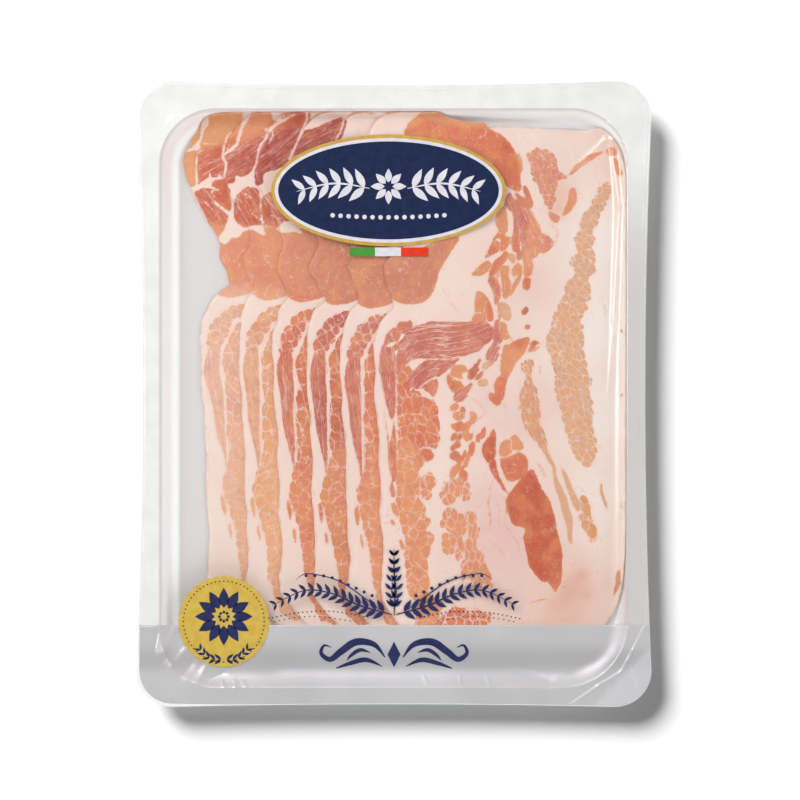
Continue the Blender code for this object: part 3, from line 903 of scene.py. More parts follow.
muscle("brick", "streaky", (
    (193, 152), (204, 144), (216, 141), (224, 141), (226, 152), (228, 166), (228, 178), (220, 181),
    (209, 178), (203, 182), (198, 186), (193, 180), (192, 166)
), angle=-60, veins=0.8, on=headSlices)
muscle("ruby", "streaky", (
    (222, 152), (236, 144), (244, 136), (256, 132), (268, 128), (268, 140), (262, 152), (257, 166),
    (251, 173), (243, 177), (236, 179), (232, 184), (225, 182), (222, 168)
), angle=-58, veins=0.9, on=headSlices)
muscle("vivid", "plain", (
    (272, 124), (284, 114), (296, 111), (310, 111), (308, 122), (300, 130), (284, 132)
), veins=0.4, on=headSlices)
muscle("wine", "streaky", (
    (258, 148), (266, 136), (274, 126), (290, 122), (304, 124), (300, 140), (294, 152), (284, 166),
    (274, 171), (266, 176), (262, 184), (256, 184), (252, 176), (254, 162)
), angle=-52, veins=0.9, on=headSlices)
muscle("wine", "streaky", (
    (292, 156), (298, 140), (302, 128), (314, 123), (328, 118), (344, 114), (346, 124), (342, 136),
    (334, 148), (310, 160), (296, 166)
), angle=-62, veins=0.8, on=headSlices)
muscle("brick", "streaky", (
    (193, 192), (199, 187), (208, 187), (216, 189), (215, 199), (221, 207), (228, 213), (230, 222),
    (226, 229), (218, 231), (209, 222), (200, 208)
), angle=36, veins=0.8, on=headSlices)
muscle("brick", "plain", (
    (212, 180), (222, 179), (229, 184), (231, 192), (232, 204), (230, 210), (224, 210), (217, 203),
    (212, 194), (210, 186)
), veins=0.5, on=headSlices)
muscle("brick", "streaky", (
    (233, 198), (241, 189), (248, 185), (256, 188), (261, 195), (262, 210), (263, 222), (256, 227),
    (246, 226), (238, 223), (232, 214)
), angle=30, veins=0.9, on=headSlices)
muscle("vivid", "streaky", (
    (262, 196), (268, 191), (276, 192), (290, 210), (288, 221), (280, 227), (270, 226), (262, 221),
    (260, 208)
), angle=34, veins=0.9, on=headSlices)
muscle("salmon", "plain", (
    (226, 242), (230, 236), (238, 236), (242, 230), (250, 228), (257, 233), (266, 234), (267, 226),
    (273, 226), (278, 232), (290, 231), (304, 234), (330, 240), (380, 244), (380, 262), (300, 268),
    (240, 268), (222, 262), (220, 250)
), veins=0.7, on=headSlices)
fatGap(
    ((247, 110, 4.5), (245, 117, 3.2), (241, 126, 1.5), (238.5, 134, 1.6), (236, 143, 1.6),
     (229, 149, 1.5), (223, 153, 1)),
    ((231, 129, 0.5), (226, 135, 1), (224, 141, 1), (222, 148, 1.4), (222, 156, 1.5), (225, 162, 1.6),
     (224.5, 168, 0.9), (223, 174, 1)),
    ((206, 113, 1.5), (204, 121, 3.4), (201, 129, 1.6), (200, 136, 1.2), (197, 142, 1.6),
     (190, 148, 1.3), (182, 150, 1)), ((201, 141, 0.7), (208, 143, 0.5), (216, 142, 0.4)),
    ((196, 152, 0.4), (194.5, 168, 0.8), (195.5, 182, 1.3)),
    ((264, 127, 0.8), (267, 131, 1.4), (265, 137, 1.4), (260, 143, 1.4), (257.5, 150, 1.4),
     (256.5, 156, 1), (255, 163, 1), (252, 170, 1.5)),
    ((272, 110, 1.6), (275, 117, 2.6), (280, 120, 2), (289, 116, 0.9), (297, 113.5, 0.5)),
    ((279, 121, 1.4), (273, 125, 1.2), (265, 128, 0.9)),
    ((271, 126, 0.5), (272.5, 133, 0.5), (268, 143, 0.4)),
    ((307, 110, 1.2), (306, 119, 1), (304, 125, 1.7), (301, 131, 1.9), (298.5, 137, 1.3),
     (295.5, 144, 1.1), (292.5, 150, 1.2), (289, 158, 1)),
    ((303, 128, 1.5), (309, 126, 2.4), (316, 123, 2.8), (324, 119, 3.2), (333, 115, 3.4),
     (344, 111, 4)),
    ((345, 113, 2), (343, 121, 1.1), (342, 127, 0.7), (339, 133, 0.7), (336, 139, 0.7)),
    ((350, 125, 1.5), (347, 133, 2), (350, 140, 3)),
    ((189, 188, 2.4), (196, 186.5, 2.8), (203, 182, 3), (209, 178, 2.2), (216, 177, 1.5),
     (223, 176, 0.8)), ((209, 178, 1.6), (208.5, 172, 0.5)), ((219, 176, 1.2), (217, 170, 0.4)),
    ((203, 183, 1.8), (210, 186, 1.2), (217, 188.5, 0.8)),
    ((213, 199, 0.6), (216, 203, 1.6), (221, 207, 1.4), (227, 212, 1.8)),
    ((203, 200, 0.3), (209, 206, 0.6), (214, 213, 0.7), (216.5, 220, 0.5)),
    ((210.5, 190, 0.7), (213, 197, 0.5)),
    ((231, 196, 1.8), (231.5, 204, 1), (231, 211, 1.6), (229.5, 218, 2.8), (228, 227, 4.5)),
    ((259, 189, 1.5), (260, 198, 0.8), (260, 207, 0.6), (260.5, 214, 0.8), (262, 223, 1.4)),
    ((264, 195, 0.8), (267, 200, 0.6), (271, 204, 0.4)),
    ((251, 212, 0.5), (257, 217, 0.8), (262, 220, 0.6)),
    ((270, 214, 0.4), (277, 217, 0.6), (284, 219, 0.5)),
    ((243, 192, 0.4), (249, 196, 0.5), (254, 204, 0.4)),
    on=headSlices)
fatPatch(
    ((235, 174), (240, 175.5), (246, 174), (253, 169), (253.5, 176), (254, 182), (250, 186.5),
     (245, 184), (240, 187), (236, 193), (233, 199), (229.5, 196), (229, 189), (226, 185), (228, 182),
     (233, 182)),
    ((262.5, 182), (262.5, 175), (267, 170.5), (275, 169), (282, 166), (278, 180), (274, 191),
     (268, 191), (262.5, 195), (260, 191), (257, 187), (257.5, 184)),
    ((227, 214), (231, 212), (233.5, 218), (238, 223), (243, 226.5), (250, 225), (257, 224),
     (262.5, 226), (263.5, 230), (265, 234), (260, 233.5), (256, 231.5), (252, 229), (246, 229),
     (241, 231.5), (238, 236), (230, 237), (224, 244), (216, 238), (221, 231), (227, 223)),
    ((264, 226), (269, 224.5), (276, 227), (283, 220.5), (290, 222), (302, 232), (292, 231), (284, 232),
     (279, 231), (274, 226)),
    on=headSlices)


def grainOf(item, x, y):
    # distance inside a muscle and the place across and along its grain, in mm
    if item["spine"]:
        spine = np.array([(*onPack(px, py), half * drawing["unit"]) for px, py, half in item["spine"]])
        best = np.full(x.shape, -1e9)
        across, along = np.zeros_like(x), np.zeros_like(x)
        run = 0.0
        for (ax, ay, aw), (bx, by, bw) in zip(spine, spine[1:]):
            ex, ey = bx - ax, by - ay
            length = math.hypot(ex, ey)
            share = np.clip(((x - ax) * ex + (y - ay) * ey) / length ** 2, 0, 1)
            depth = aw + (bw - aw) * share - np.hypot(x - ax - ex * share, y - ay - ey * share)
            better = depth > best
            best = np.where(better, depth, best)
            across = np.where(better, (ex * (y - ay) - ey * (x - ax)) / length, across)
            along = np.where(better, run + share * length, along)
            run += length
        return best / mm, across / mm, along / mm
    outline = smoothLoop([onPack(px, py) for px, py in item["outline"]], 3)
    depth = outlineDistance(x, y, outline)[0]
    turn = math.radians(item["angle"])
    across = x * math.cos(turn) + y * math.sin(turn)
    along = y * math.cos(turn) - x * math.sin(turn)
    return depth / mm, across / mm, along / mm


fat = {
    "base": linear(238, 212, 201), "cream": linear(241, 231, 223), "pink": linear(230, 193, 186),
    "warm": linear(229, 190, 172), "flush": linear(220, 164, 147),
    # centre, reach and strength of paler and pinker areas
    "creamSpots": ((612, 240, 34, 1.0), (608, 330, 30, 1.0), (610, 420, 28, 0.9), (606, 500, 26, 0.7),
                   (604, 560, 18, 0.5), (560, 135, 40, 0.2), (440, 480, 16, 0.3), (560, 360, 22, 0.4)),
    "pinkSpots": ((505, 545, 36, 0.95), (508, 420, 22, 0.55), (545, 400, 16, 0.4), (530, 285, 18, 0.5),
                  (490, 395, 16, 0.4), (487, 500, 20, 0.5)),
    "warmSpots": ((563, 190, 10, 1.0), (556, 208, 8, 0.9), (545, 612, 34, 0.62), (580, 598, 22, 0.55),
                  (590, 140, 26, 0.3), (480, 610, 30, 0.4), (578, 566, 16, 0.5)),
    "flushSpots": ((574, 592, 8, 0.7), (584, 576, 5, 0.6), (588, 596, 5, 0.45), (561, 604, 7, 0.5),
                   (577, 614, 6, 0.3)),
}

# how each slice differs: how pale its lean is, and what its fat and lean lean to
sliceLooks = (
    {"pale": 0.18, "lean": "paleTan", "leanShare": 0.85, "cream": 0.15},
    {"pale": 0.1, "lean": "sand", "leanShare": 0.66, "cream": 0.1},
    {"pale": 0.0, "lean": "red", "leanShare": 0.5, "cream": 0.0},
    {"pale": 0.0, "lean": "ruby", "leanShare": 0.3, "cream": 0.0},
    {"pale": 0.04, "lean": "red", "leanShare": 0.2, "cream": 0.0},
    {"pale": 0.0, "lean": "red", "leanShare": 0.0, "cream": 0.0},
)


def spots(px, py, entries):
    total = np.zeros_like(px)
    for cx, cy, reach, strength in entries:
        total += strength * np.exp(-((px - cx) ** 2 + (py - cy) ** 2) / (2 * reach ** 2))
    return np.clip(total, 0, 1)


def driftDown(index, py):
    # level at the upper end, each slice lies a little further down than the next below that
    below = np.clip((py - pile["driftFrom"]) / pile["driftRun"], 0, 1)
    return pile["drift"] * (pile["count"] - 1 - index) * below


def localPlace(index, x, y):
    # where a point of the pack lies on the drawing of one slice
    px = x / drawing["unit"] + drawing["middle"]
    py = drawing["middle"] - y / drawing["unit"]
    left = pile["left"][index]
    slant = pile["slant"][index] * np.clip((py - pile["slantFrom"]) / pile["slantRun"], 0, 1)
    return pile["outlineLeft"] + px - left - slant, py + driftDown(index, py)


def paintSlice(piece, index, x, y):
    packX = x / drawing["unit"] + drawing["middle"]
    packY = drawing["middle"] - y / drawing["unit"]
    px, py = localPlace(index, x, y)
    if index in lowerSlices:
        # no two slices are cut alike
        px = px + waves(x, y, 34 * mm, 20 + index) * 0.9
        py = py + waves(x, y, 40 * mm, 30 + index) * 0.9
    count = len(x)
    best = np.full(count, -9.0)
    tintSum, tintShare = np.zeros((count, 3)), np.full((count, 1), 1e-9)
    grain = np.zeros((count, 3))
    cobble, streak, seam, vein = (np.zeros(count) for _ in range(4))

    def measured(item):
        # the vertices near a shape, and its distances there
        shape = item["outline"] or [point[:2] for point in item["spine"]]
        reach = 24
        low, high = np.min(shape, 0) - reach, np.max(shape, 0) + reach
        ax, ay = (packX, packY) if "pack" in item["on"] else (px, py)
        near = np.nonzero((ax > low[0]) & (ax < high[0]) & (ay > low[1]) & (ay < high[1]))[0]
        return near, grainOf(item, *onPack(ax[near], ay[near]))

    for number, item in enumerate(muscles):
        if index not in item["on"]:
            continue
        near, (depth, across, along) = measured(item)
        depth = depth + item["grow"]
        # how gently the colour of one muscle turns into the next
        soft = 1.5 if "pack" in item["on"] or item["kind"] == "cobbled" else 0.8
        share = np.exp(np.minimum(depth, 3 * soft) / soft)[:, None] * (depth > -2 * soft)[:, None]
        tintSum[near] += share * np.array(lean[item["colour"]])
        tintShare[near] += share
        better = depth > best[near]
        chosen = near[better]
        best[chosen] = depth[better]
        cellX, cellY = item["cell"] if item["kind"] == "cobbled" else (1, 1)
        shift = number * 3.7 + index * 17.3  # so that no two muscles have the same grain
        cells = (across / cellX + shift, along / cellY + shift, np.full(len(near), shift))
        grain[chosen] = np.stack(cells, 1)[better]
        cobble[chosen] = item["kind"] == "cobbled"
        streak[chosen] = item["kind"] == "streaky"
        seam[chosen] = item["seam"]
        vein[chosen] = item["veins"]
    for item in gaps:
        if index in item["on"]:
            near, (depth, _, _) = measured(item)
            best[near] = np.minimum(best[near], -depth)
    tint = tintSum / tintShare
    # the upper end is the same strong colour in every slice, the strips below differ
    look = sliceLooks[index]
    below = np.clip((py - pile["stripFrom"]) / pile["stripFade"], 0, 1)[:, None]
    tint = tint + (np.array(lean[look["lean"]]) - tint) * look["leanShare"] * below
    tint = tint + (np.array(fat["base"]) - tint) * look["pale"] * below
    deep = spots(packX, packY, pile["deepSpots"])[:, None]
    tint = tint * (1 - deep * np.array((0.16, 0.19, 0.17)))
    fatTint = np.tile(fat["base"], (count, 1))
    for spotName, colour in (("creamSpots", "cream"), ("warmSpots", "warm"), ("pinkSpots", "pink"),
                              ("flushSpots", "flush")):
        share = spots(px, py, fat[spotName])[:, None]
        fatTint = fatTint + (np.array(fat[colour]) - fatTint) * share
    fatTint = fatTint + (np.array(fat["cream"]) - fatTint) * look["cream"]
    opaque = np.ones((count, 1))
    addAttribute(piece, "lean", "FLOAT", best)
    addAttribute(piece, "tint", "FLOAT_COLOR", np.hstack((tint, opaque)))
    addAttribute(piece, "fatTint", "FLOAT_COLOR", np.hstack((fatTint, opaque)))
    addAttribute(piece, "grain", "FLOAT_VECTOR", grain)
    addAttribute(piece, "cobble", "FLOAT", cobble)
    addAttribute(piece, "streak", "FLOAT", streak)
    addAttribute(piece, "seam", "FLOAT", seam)
    addAttribute(piece, "vein", "FLOAT", vein)
    addAttribute(piece, "edge", "FLOAT", outlineDistance(x, y, sliceEdge(index))[0] / mm)


def sliceEdge(index):
    outline = []
    top, bottom = pile["rippleSpan"]
    for px, py in smoothLoop(sliceOutline, 4):
        lobe = pile["lobes"][index] * bell(py - pile["lobeY"], pile["lobeReach"])
        lobe = lobe * (px < pile["lobeRight"])
        # near the lower end the left edge swings to the right
        low = max(0, py - pile["swingFrom"]) if index else 0
        swing = low * low / (low + pile["swingReach"])
        py -= driftDown(index, py) + lobe
        if px < pile["leftHalf"]:
            px += swing
            px += pile["waists"][index] * bell(py - pile["waistY"], pile["waistReach"])
            if top < py < bottom:
                for size, rate, turn in pile["ripples"]:
                    px += size * math.sin(py * rate + index * turn)
        px += pile["left"][index] - pile["outlineLeft"]
        outline.append(onPack(px, py))
    return np.array(outline)


def softMin(a, b, reach):
    return -reach * np.logaddexp(-a / reach, -b / reach)


def sliceBottom(index, x, y):
    # how many slices lie under a point: all the lower ones at the left, fewer past their right edges
    right = onPack(pile["left"][index] + pile["outlineWidth"], 0)[0]
    layers = np.zeros_like(x)
    if index:
        layers = softMin(np.full_like(x, index), np.maximum(0, (right - x) / pile["step"]), 0.12)
    stack = pile["floor"] + pile["pitch"] * np.maximum(0, layers)
    depth = mouthDepth(x, y)
    wall = wallHeight(depth) + 0.35 * mm + pile["topLap"] * index
    return np.maximum(stack, wall)


def makeSlice(index, material):
    outline = sliceEdge(index)
    low, high = outline.min(0), outline.max(0)
    step = pile["meshStep"]
    xs = np.arange(low[0] - step, high[0] + 2 * step, step)
    ys = np.arange(low[1] - step, high[1] + 2 * step, step)

    def distance(x, y):
        return outlineDistance(x, y, outline)

    def top(x, y):
        # under the next slice and under the film, also where the slices are pressed against the wall
        depth = np.clip(distance(x, y)[0] / pile["edge"], 0, 1)
        full = pile["rim"] + (1 - pile["rim"]) * np.sqrt(1 - (1 - depth) ** 2)
        uneven = 0.05 * mm * waves(x, y, 9 * mm, 50 + index)
        uneven = uneven + 0.03 * mm * waves(x, y, 3.5 * mm, 60 + index)
        free = sliceBottom(index, x, y) + pile["thickness"] * full + uneven * depth
        ceiling = filmHeight(x, y) - 0.08 * mm * (6 - index)
        if index < pile["count"] - 1:
            ceiling = np.minimum(ceiling, sliceBottom(index + 1, x, y) - 0.03 * mm)
        return np.minimum(free, ceiling)

    def bottom(x, y):
        return np.minimum(sliceBottom(index, x, y), top(x, y) - 0.25 * mm)

    piece, x, y = solidSheet(f"slice{index + 1}", xs, ys, distance, top, bottom)
    paintSlice(piece, index, x, y)
    bakeMap(piece, len(x))
    wear(piece, material, "cured_meat", f"slice_{index + 1}")
    return piece


def meatFinish():
    finish = Finish("curedMeat", Specular_IOR_Level=0.25)
    spot = finish.place()
    depth = finish.attribute("lean")
    grain = finish.attribute("grain", "Vector")
    cobble = finish.attribute("cobble")
    streak = finish.attribute("streak")
    seam = finish.attribute("seam")
    vein = finish.attribute("vein")
    edgeDepth = finish.attribute("edge")
    tint = finish.attribute("tint", "Color")
    fatTint = finish.attribute("fatTint", "Color")
    wobble = finish.noise(spot, 1.3, 3) - 0.5
    patchy = finish.noise(spot, 3.4, 2)

    # cobbled muscles have lobed edges, and the pale seams between their cells come and go
    warp = finish.add("ShaderNodeTexNoise", {"noise_dimensions": "2D"},
                      {"Vector": grain, "Scale": 1.7, "Detail": 2.0}, output=1)
    warped = finish.add("ShaderNodeVectorMath", {"operation": "MULTIPLY_ADD"},
                        {0: warp, 1: (0.45, 0.45, 0), 2: grain})
    values = {"Vector": warped, "Scale": 1.0, "Randomness": 0.85}
    first = finish.add("ShaderNodeTexVoronoi", {"voronoi_dimensions": "2D", "feature": "F1"}, values)
    second = finish.add("ShaderNodeTexVoronoi", {"voronoi_dimensions": "2D", "feature": "F2"}, values)
    gap = second - first
    cellColour = Wire(finish, first.socket.node.outputs["Color"])
    chance = finish.add("ShaderNodeSeparateColor", None, {"Color": cellColour})
    seamLine = 1 - (gap - seam + wobble * 0.06).between(-0.03, 0.07)
    outer = 1 - depth.between(0.2, 1.2)
    seamShown = (patchy.between(0.44, 0.62) * 0.62 + 0.12).most(outer * 0.85)
    seamShown = seamShown.most(seam.between(0.08, 0.1))
    shape = (depth + (0.42 - first) * 1.7 + wobble * 0.5).between(-0.18, 0.18)
    lobed = shape * (1 - seamLine * seamShown * (1 - depth.between(0.8, 3.0) * 0.35))
    drift = finish.noise(spot, 4.2, 2) - 0.5
    even = (depth + wobble * 0.8 + drift * 0.6).between(-0.28, 0.28)
    leanMask = even * (1 - cobble) + lobed * cobble

    def ridge(value, width):
        # 1 along the lines where a noise crosses its middle
        offMiddle = finish.add("ShaderNodeMath", {"operation": "ABSOLUTE"}, {0: value - 0.5})
        return 1 - offMiddle.between(0.0, width)

    # pale fibres along the grain of the streaky ones, flecks and veins in the others
    shown = finish.noise(spot, 4.5, 2).between(0.36, 0.56)
    longFibre = ridge(finish.noise(finish.scaled(grain, (0.42, 0.03, 1)), 1, 2), 0.02)
    shortFibre = ridge(finish.noise(finish.scaled(grain, (1.1, 0.12, 1)), 1, 2), 0.035) * shown
    fibres = (longFibre * 0.5).most(shortFibre * 0.4) * streak * vein
    fleckPlace = finish.add("ShaderNodeVectorRotate", {"rotation_type": "Z_AXIS"},
                            {"Vector": spot, "Angle": 0.5})
    fleck = finish.noise(finish.scaled(fleckPlace, (1.9, 0.5, 1)), 1, 1).between(0.66, 0.74)
    veins = ridge(finish.noise(finish.scaled(spot, (0.2, 0.13, 1)), 1, 3, 0.5), 0.012)
    veins = veins * patchy.between(0.46, 0.6)
    pale = fibres + (fleck * 0.42 + veins * 0.75) * vein * (1 - streak)

    # lean colour: darker and more orange areas, mottled, each cell a little different
    mottle = finish.noise(spot, 2.2, 4, 0.6)
    broad = finish.noise(spot, 8, 2)
    strand = finish.noise(finish.scaled(grain, (1.3, 0.05, 1)), 1, 3, 0.6)
    plain = 1 - cobble.most(streak)  # plain muscles are the most even
    darker = finish.blend(1.0, tint, linear(247, 228, 222), "MULTIPLY")
    deeper = finish.blend(1.0, tint, linear(236, 206, 198), "MULTIPLY")
    lighter = finish.blend(0.12, tint, linear(250, 214, 176))
    glow = finish.blend(0.6, tint, linear(228, 156, 102))
    light = mottle.between(0.2, 0.85) * (1 - plain * 0.45) + plain * 0.22
    leanColour = finish.blend(light, darker, lighter)
    leanColour = finish.blend((1 - broad.between(0.3, 0.5)) * (0.45 - plain * 0.33), leanColour, deeper)
    leanColour = finish.blend(broad.between(0.46, 0.66) * 0.7 * (1 - streak * 0.5), leanColour, glow)
    leanColour = finish.blend(strand.between(0.52, 0.7) * streak * 0.5, leanColour, lighter)
    rim = (1 - depth.between(0.0, 1.6)) * (1 - cobble) * (1 - streak)
    leanColour = finish.blend(rim * 0.35, leanColour, glow)
    leanColour = finish.blend(chance * cobble * 0.4, leanColour, glow)
    leanColour = finish.blend((1 - (gap - seam).between(0.0, 0.16)) * cobble * 0.16, leanColour, fatTint)
    leanColour = finish.blend(pale, leanColour, fatTint)
    # a painted highlight along each slice's cut edge: the lean there is blended towards the fat colour in
    # patches
    paintedEdgeHighlight = (1 - edgeDepth.between(0.1, 0.8)) * finish.noise(spot, 6, 2).between(0.42, 0.6)
    leanColour = finish.blend(paintedEdgeHighlight * 0.32, leanColour, fatTint)

    # fat: soft clouds, faint fibres, a few pores, and a blush beside the lean
    cloud = finish.noise(spot, 14, 3)
    speck = finish.noise(spot, 0.9, 2)
    paleFat = finish.blend(0.5, fatTint, linear(246, 232, 222))
    fatColour = finish.blend(cloud.between(0.3, 0.75) * 0.5, fatTint, paleFat)
    fatColour = finish.blend(speck.between(0.62, 0.8) * 0.25, fatColour, linear(228, 196, 184))
    creases = ridge(finish.noise(finish.scaled(spot, (0.09, 0.05, 1)), 1, 3, 0.6), 0.008)
    creases = creases * cloud.between(0.5, 0.6)
    fatColour = finish.blend(creases * 0.35, fatColour, linear(214, 158, 142))
    near = (depth + 1.3).between(0.0, 1.3)
    fatColour = finish.blend(near * 0.24, fatColour, linear(238, 194, 172))
    crust = (1 - edgeDepth.between(0.2, 1.3)) * finish.noise(spot, 5, 3).between(0.46, 0.62)
    fatColour = finish.blend(crust * 0.5, fatColour, linear(218, 176, 136))

    finish.set("Base Color", finish.blend(leanMask, fatColour, leanColour))
    finish.set("Roughness", 0.36 + leanMask * 0.12)
    height = speck * 0.25 + mottle * 0.3 - leanMask * 0.6 + fibres * 0.3
    finish.bump(height, 0.1 * mm, 0.5)
    return finish.material


film = {
    "height": 12.3 * mm, "thickness": 0.08 * mm, "dip": 3.3 * mm, "dipRun": 7.4 * mm, "dipCurve": 2.2,
    "slackRun": 4 * mm,
    "hollow": 0.9 * mm, "hollowY": 671, "hollowReach": 7 * mm, "hollowLeft": 283, "hollowFade": 10 * mm,
    "bandTop": 625.5, "rimInset": 0.35 * mm, "peelDirection": (0.72, -0.69), "peelStart": 136 * mm,
    "peelSlope": 0.04, "cornerShort": 1.1 * mm, "cornerReach": 26 * mm,
    # ridges: start, end, half-width in drawing units and height in mm
    "ridges": (
        (164, 652, 174, 630, 3.2, 0.5), (156, 648, 160, 628, 3.6, -0.4), (172, 667, 184, 652, 4.0, 0.55),
        (164, 660, 171, 652, 2.6, -0.3), (197, 681, 205, 669, 3.6, 0.5), (182, 676, 191, 663, 4.0, -0.45),
        (208, 682, 222, 674, 3.6, -0.4),
        (222, 682, 225, 689, 1.5, 0.3), (234, 681, 236, 688, 1.5, 0.3), (243, 682, 247, 689, 1.5, 0.26),
        (424, 677, 427, 684, 1.4, 0.24), (460, 677, 461, 684, 1.4, 0.24), (487, 678, 490, 685, 1.4, 0.2),
        (475, 640, 548, 682, 7, -0.7), (500, 636, 566, 668, 8, 0.5), (440, 632, 470, 650, 9, -0.3),
        (645, 626, 633, 650, 1.5, 0.36), (633, 650, 621, 672, 1.5, 0.36), (621, 672, 598, 686, 1.5, 0.36),
        (598, 686, 569, 706, 1.5, 0.36), (630, 660, 640, 690, 2.5, 0.4), (610, 690, 622, 700, 2.5, 0.34),
        (590, 698, 600, 704, 2, 0.28), (612, 140, 619, 205, 2.8, 0.6), (619, 205, 614, 320, 3.0, 0.7),
        (614, 320, 609, 400, 2.6, 0.5), (583, 162, 606, 140, 3.2, 0.7), (168, 124, 174, 118, 1.8, 0.45),
        (607, 126, 613, 120, 1.8, 0.45), (625, 143, 632, 137, 1.8, 0.5), (626, 150.5, 632, 146, 1.7, 0.45),
        (626, 157, 632, 153.5, 1.7, 0.4), (626, 163, 631, 159.5, 1.7, 0.36),
    ),
}


def ridgeHeight(x, y, entries):
    total = np.zeros_like(x)
    for x0, y0, x1, y1, half, height in entries:
        ax, ay = onPack(x0, y0)
        bx, by = onPack(x1, y1)
        ex, ey = bx - ax, by - ay
        share = ((x - ax) * ex + (y - ay) * ey) / (ex * ex + ey * ey)
        inner = np.clip(share, 0, 1)
        away = np.hypot(x - ax - ex * inner, y - ay - ey * inner)
        total += height * mm * bell(away, half * drawing["unit"])
    return total


def filmHeight(x, y):
    depth = mouthDepth(x, y)
    share = np.clip((depth + 0.1 * mm) / film["dipRun"], 0, 1)
    dip = film["dip"] * (1 - (1 - share) ** film["dipCurve"])
    # past the ends of the slices the film sinks a little deeper, but not under the seal
    hollowX, hollowY = onPack(film["hollowLeft"], film["hollowY"])
    past = np.clip((x - hollowX) / film["hollowFade"] + 1, 0, 1)
    hollow = film["hollow"] * bell(y - hollowY, film["hollowReach"]) * share
    dip = dip + hollow * past * past * (3 - 2 * past)
    # the corner at the lower right stands up a little where it is peeled
    direction = Vector(film["peelDirection"]).normalized()
    beyond = np.maximum(0, x * direction.x + y * direction.y - film["peelStart"])
    slack = np.clip(depth / film["slackRun"], 0, 1)
    uneven = 0.05 * mm * waves(x, y, 40 * mm, 5) * slack
    lift = beyond * film["peelSlope"] + ridgeHeight(x, y, film["ridges"])
    return film["height"] - dip + lift + uneven


packEdge = packLoop(0)


def gridLines(stops):
    # grid lines from one stop to the next, each stretch with its own step, in mm
    lines = []
    for (start, step), (end, _) in zip(stops, stops[1:]):
        lines.append(np.arange(start, end - step * 0.4, step))
    return np.concatenate(lines + [[stops[-1][0]]]) * mm


def makeFilm(clear, silver):
    bandY = onPack(0, film["bandTop"])[1]

    def windowRegion(x, y):
        depth, slopeX, slopeY = outlineDistance(x, y, packEdge)
        depth = depth - film["rimInset"]
        below = y - bandY
        lower = below < depth
        return np.where(lower, below, depth), np.where(lower, 0, slopeX), np.where(lower, 1, slopeY)

    def bandRegion(x, y):
        depth, slopeX, slopeY = outlineDistance(x, y, packEdge)
        corner = bell(np.hypot(x + 96 * mm, y + 118 * mm), film["cornerReach"])
        depth = depth - film["rimInset"] - film["cornerShort"] * corner
        above = bandY - y
        upper = above < depth
        return np.where(upper, above, depth), np.where(upper, 0, slopeX), np.where(upper, -1, slopeY)

    def top(x, y):
        return filmHeight(x, y) + film["thickness"]

    xs = gridLines(((-100.5, 0.7), (-80, 1.6), (62, 0.6), (100.5, 0)))
    ys = gridLines(((bandY / mm, 1.4), (60, 0.7), (122, 0)))
    window, x, y = solidSheet("filmWindow", xs, ys, windowRegion, top, filmHeight)
    bakeMap(window, len(x))
    wear(window, clear, "film", "lid_film")
    clearPieces.objects.link(window)
    xs = gridLines(((-100.5, 0.45), (100.5, 0)))
    ys = gridLines(((-122, 0.45), (bandY / mm, 0)))
    band, x, y = solidSheet("filmBand", xs, ys, bandRegion, top, filmHeight)
    bakeMap(band, len(x))
    wear(band, silver, "film")
    band.visible_shadow = False  # thin film lets the light through to the slices
    return window, band


def clearFinish():
    finish = Finish("clearFilm")
    tree = finish.tree
    glossy = finish.add("ShaderNodeBsdfGlossy", None, {"Color": (1, 1, 1), "Roughness": 0.2})
    through = finish.add("ShaderNodeBsdfTransparent", None, {"Color": (1, 1, 1)})
    facing = finish.add("ShaderNodeLayerWeight", None, {"Blend": 0.5}, output="Facing")
    sheen = 0.03 + finish.math("POWER", facing, 5.0) * 0.8
    node = tree.nodes.new("ShaderNodeMixShader")
    tree.links.new(sheen.socket, node.inputs[0])
    tree.links.new(through.socket, node.inputs[1])
    tree.links.new(glossy.socket, node.inputs[2])
    tree.links.new(node.outputs[0], finish.output.inputs["Surface"])
    return finish.material


def silverFinish():
    finish = Finish("silverBand", Metallic=0.35)
    spot = finish.place()
    cloud = finish.noise(spot, 30, 2)
    fine = finish.noise(spot, 0.35, 2)
    split = finish.add("ShaderNodeSeparateXYZ", None, {"Vector": spot}).socket.node.outputs
    alongPack = Wire(finish, split["Y"])
    # the print is a little see-through: a strip over the empty end of the tray is painted darker than over
    # the slices, painted shade of the gap beneath
    empty = alongPack.between(-110, -104) * (1 - alongPack.between(-103, -95))
    base = finish.blend(cloud.between(0.3, 0.7), linear(206, 204, 206), linear(216, 214, 216))
    base = finish.blend(empty * 0.6, base, linear(182, 180, 182))
    # the loose corner past the seal line is lighter
    peelX, peelY = film["peelDirection"]
    corner = (Wire(finish, split["X"]) * peelX + alongPack * peelY).between(138, 141)
    base = finish.blend(corner * 0.6, base, linear(232, 230, 234))
    finish.set("Base Color", base)
    finish.set("Roughness", 0.36 + fine * 0.1)
    finish.bump(finish.noise(spot, 12, 2) + fine * 0.06, 0.25 * mm)
    return finish.material


label = {
    "oval": (388.5, 190, 117.5, 56), "goldRim": 3.5, "whiteRim": 3.4, "steps": 128,
    "strip": (349.5, 428, 375, 401), "stripTop": 247.2, "stripBottom": 255.9,
    "seal": (223.5, 622, 46), "scallops": 36, "scallopDepth": 1.6,
    "lift": 0.12 * mm, "thickness": 0.08 * mm, "stack": 0.05 * mm,
}


def printHeight(outline, level):
    # height of a print that lies flat over an outline
    loop = np.array(outline)
    height = float(filmHeight(loop[:, 0], loop[:, 1]).mean())
    return height + film["thickness"] + label["lift"] + level * label["stack"]


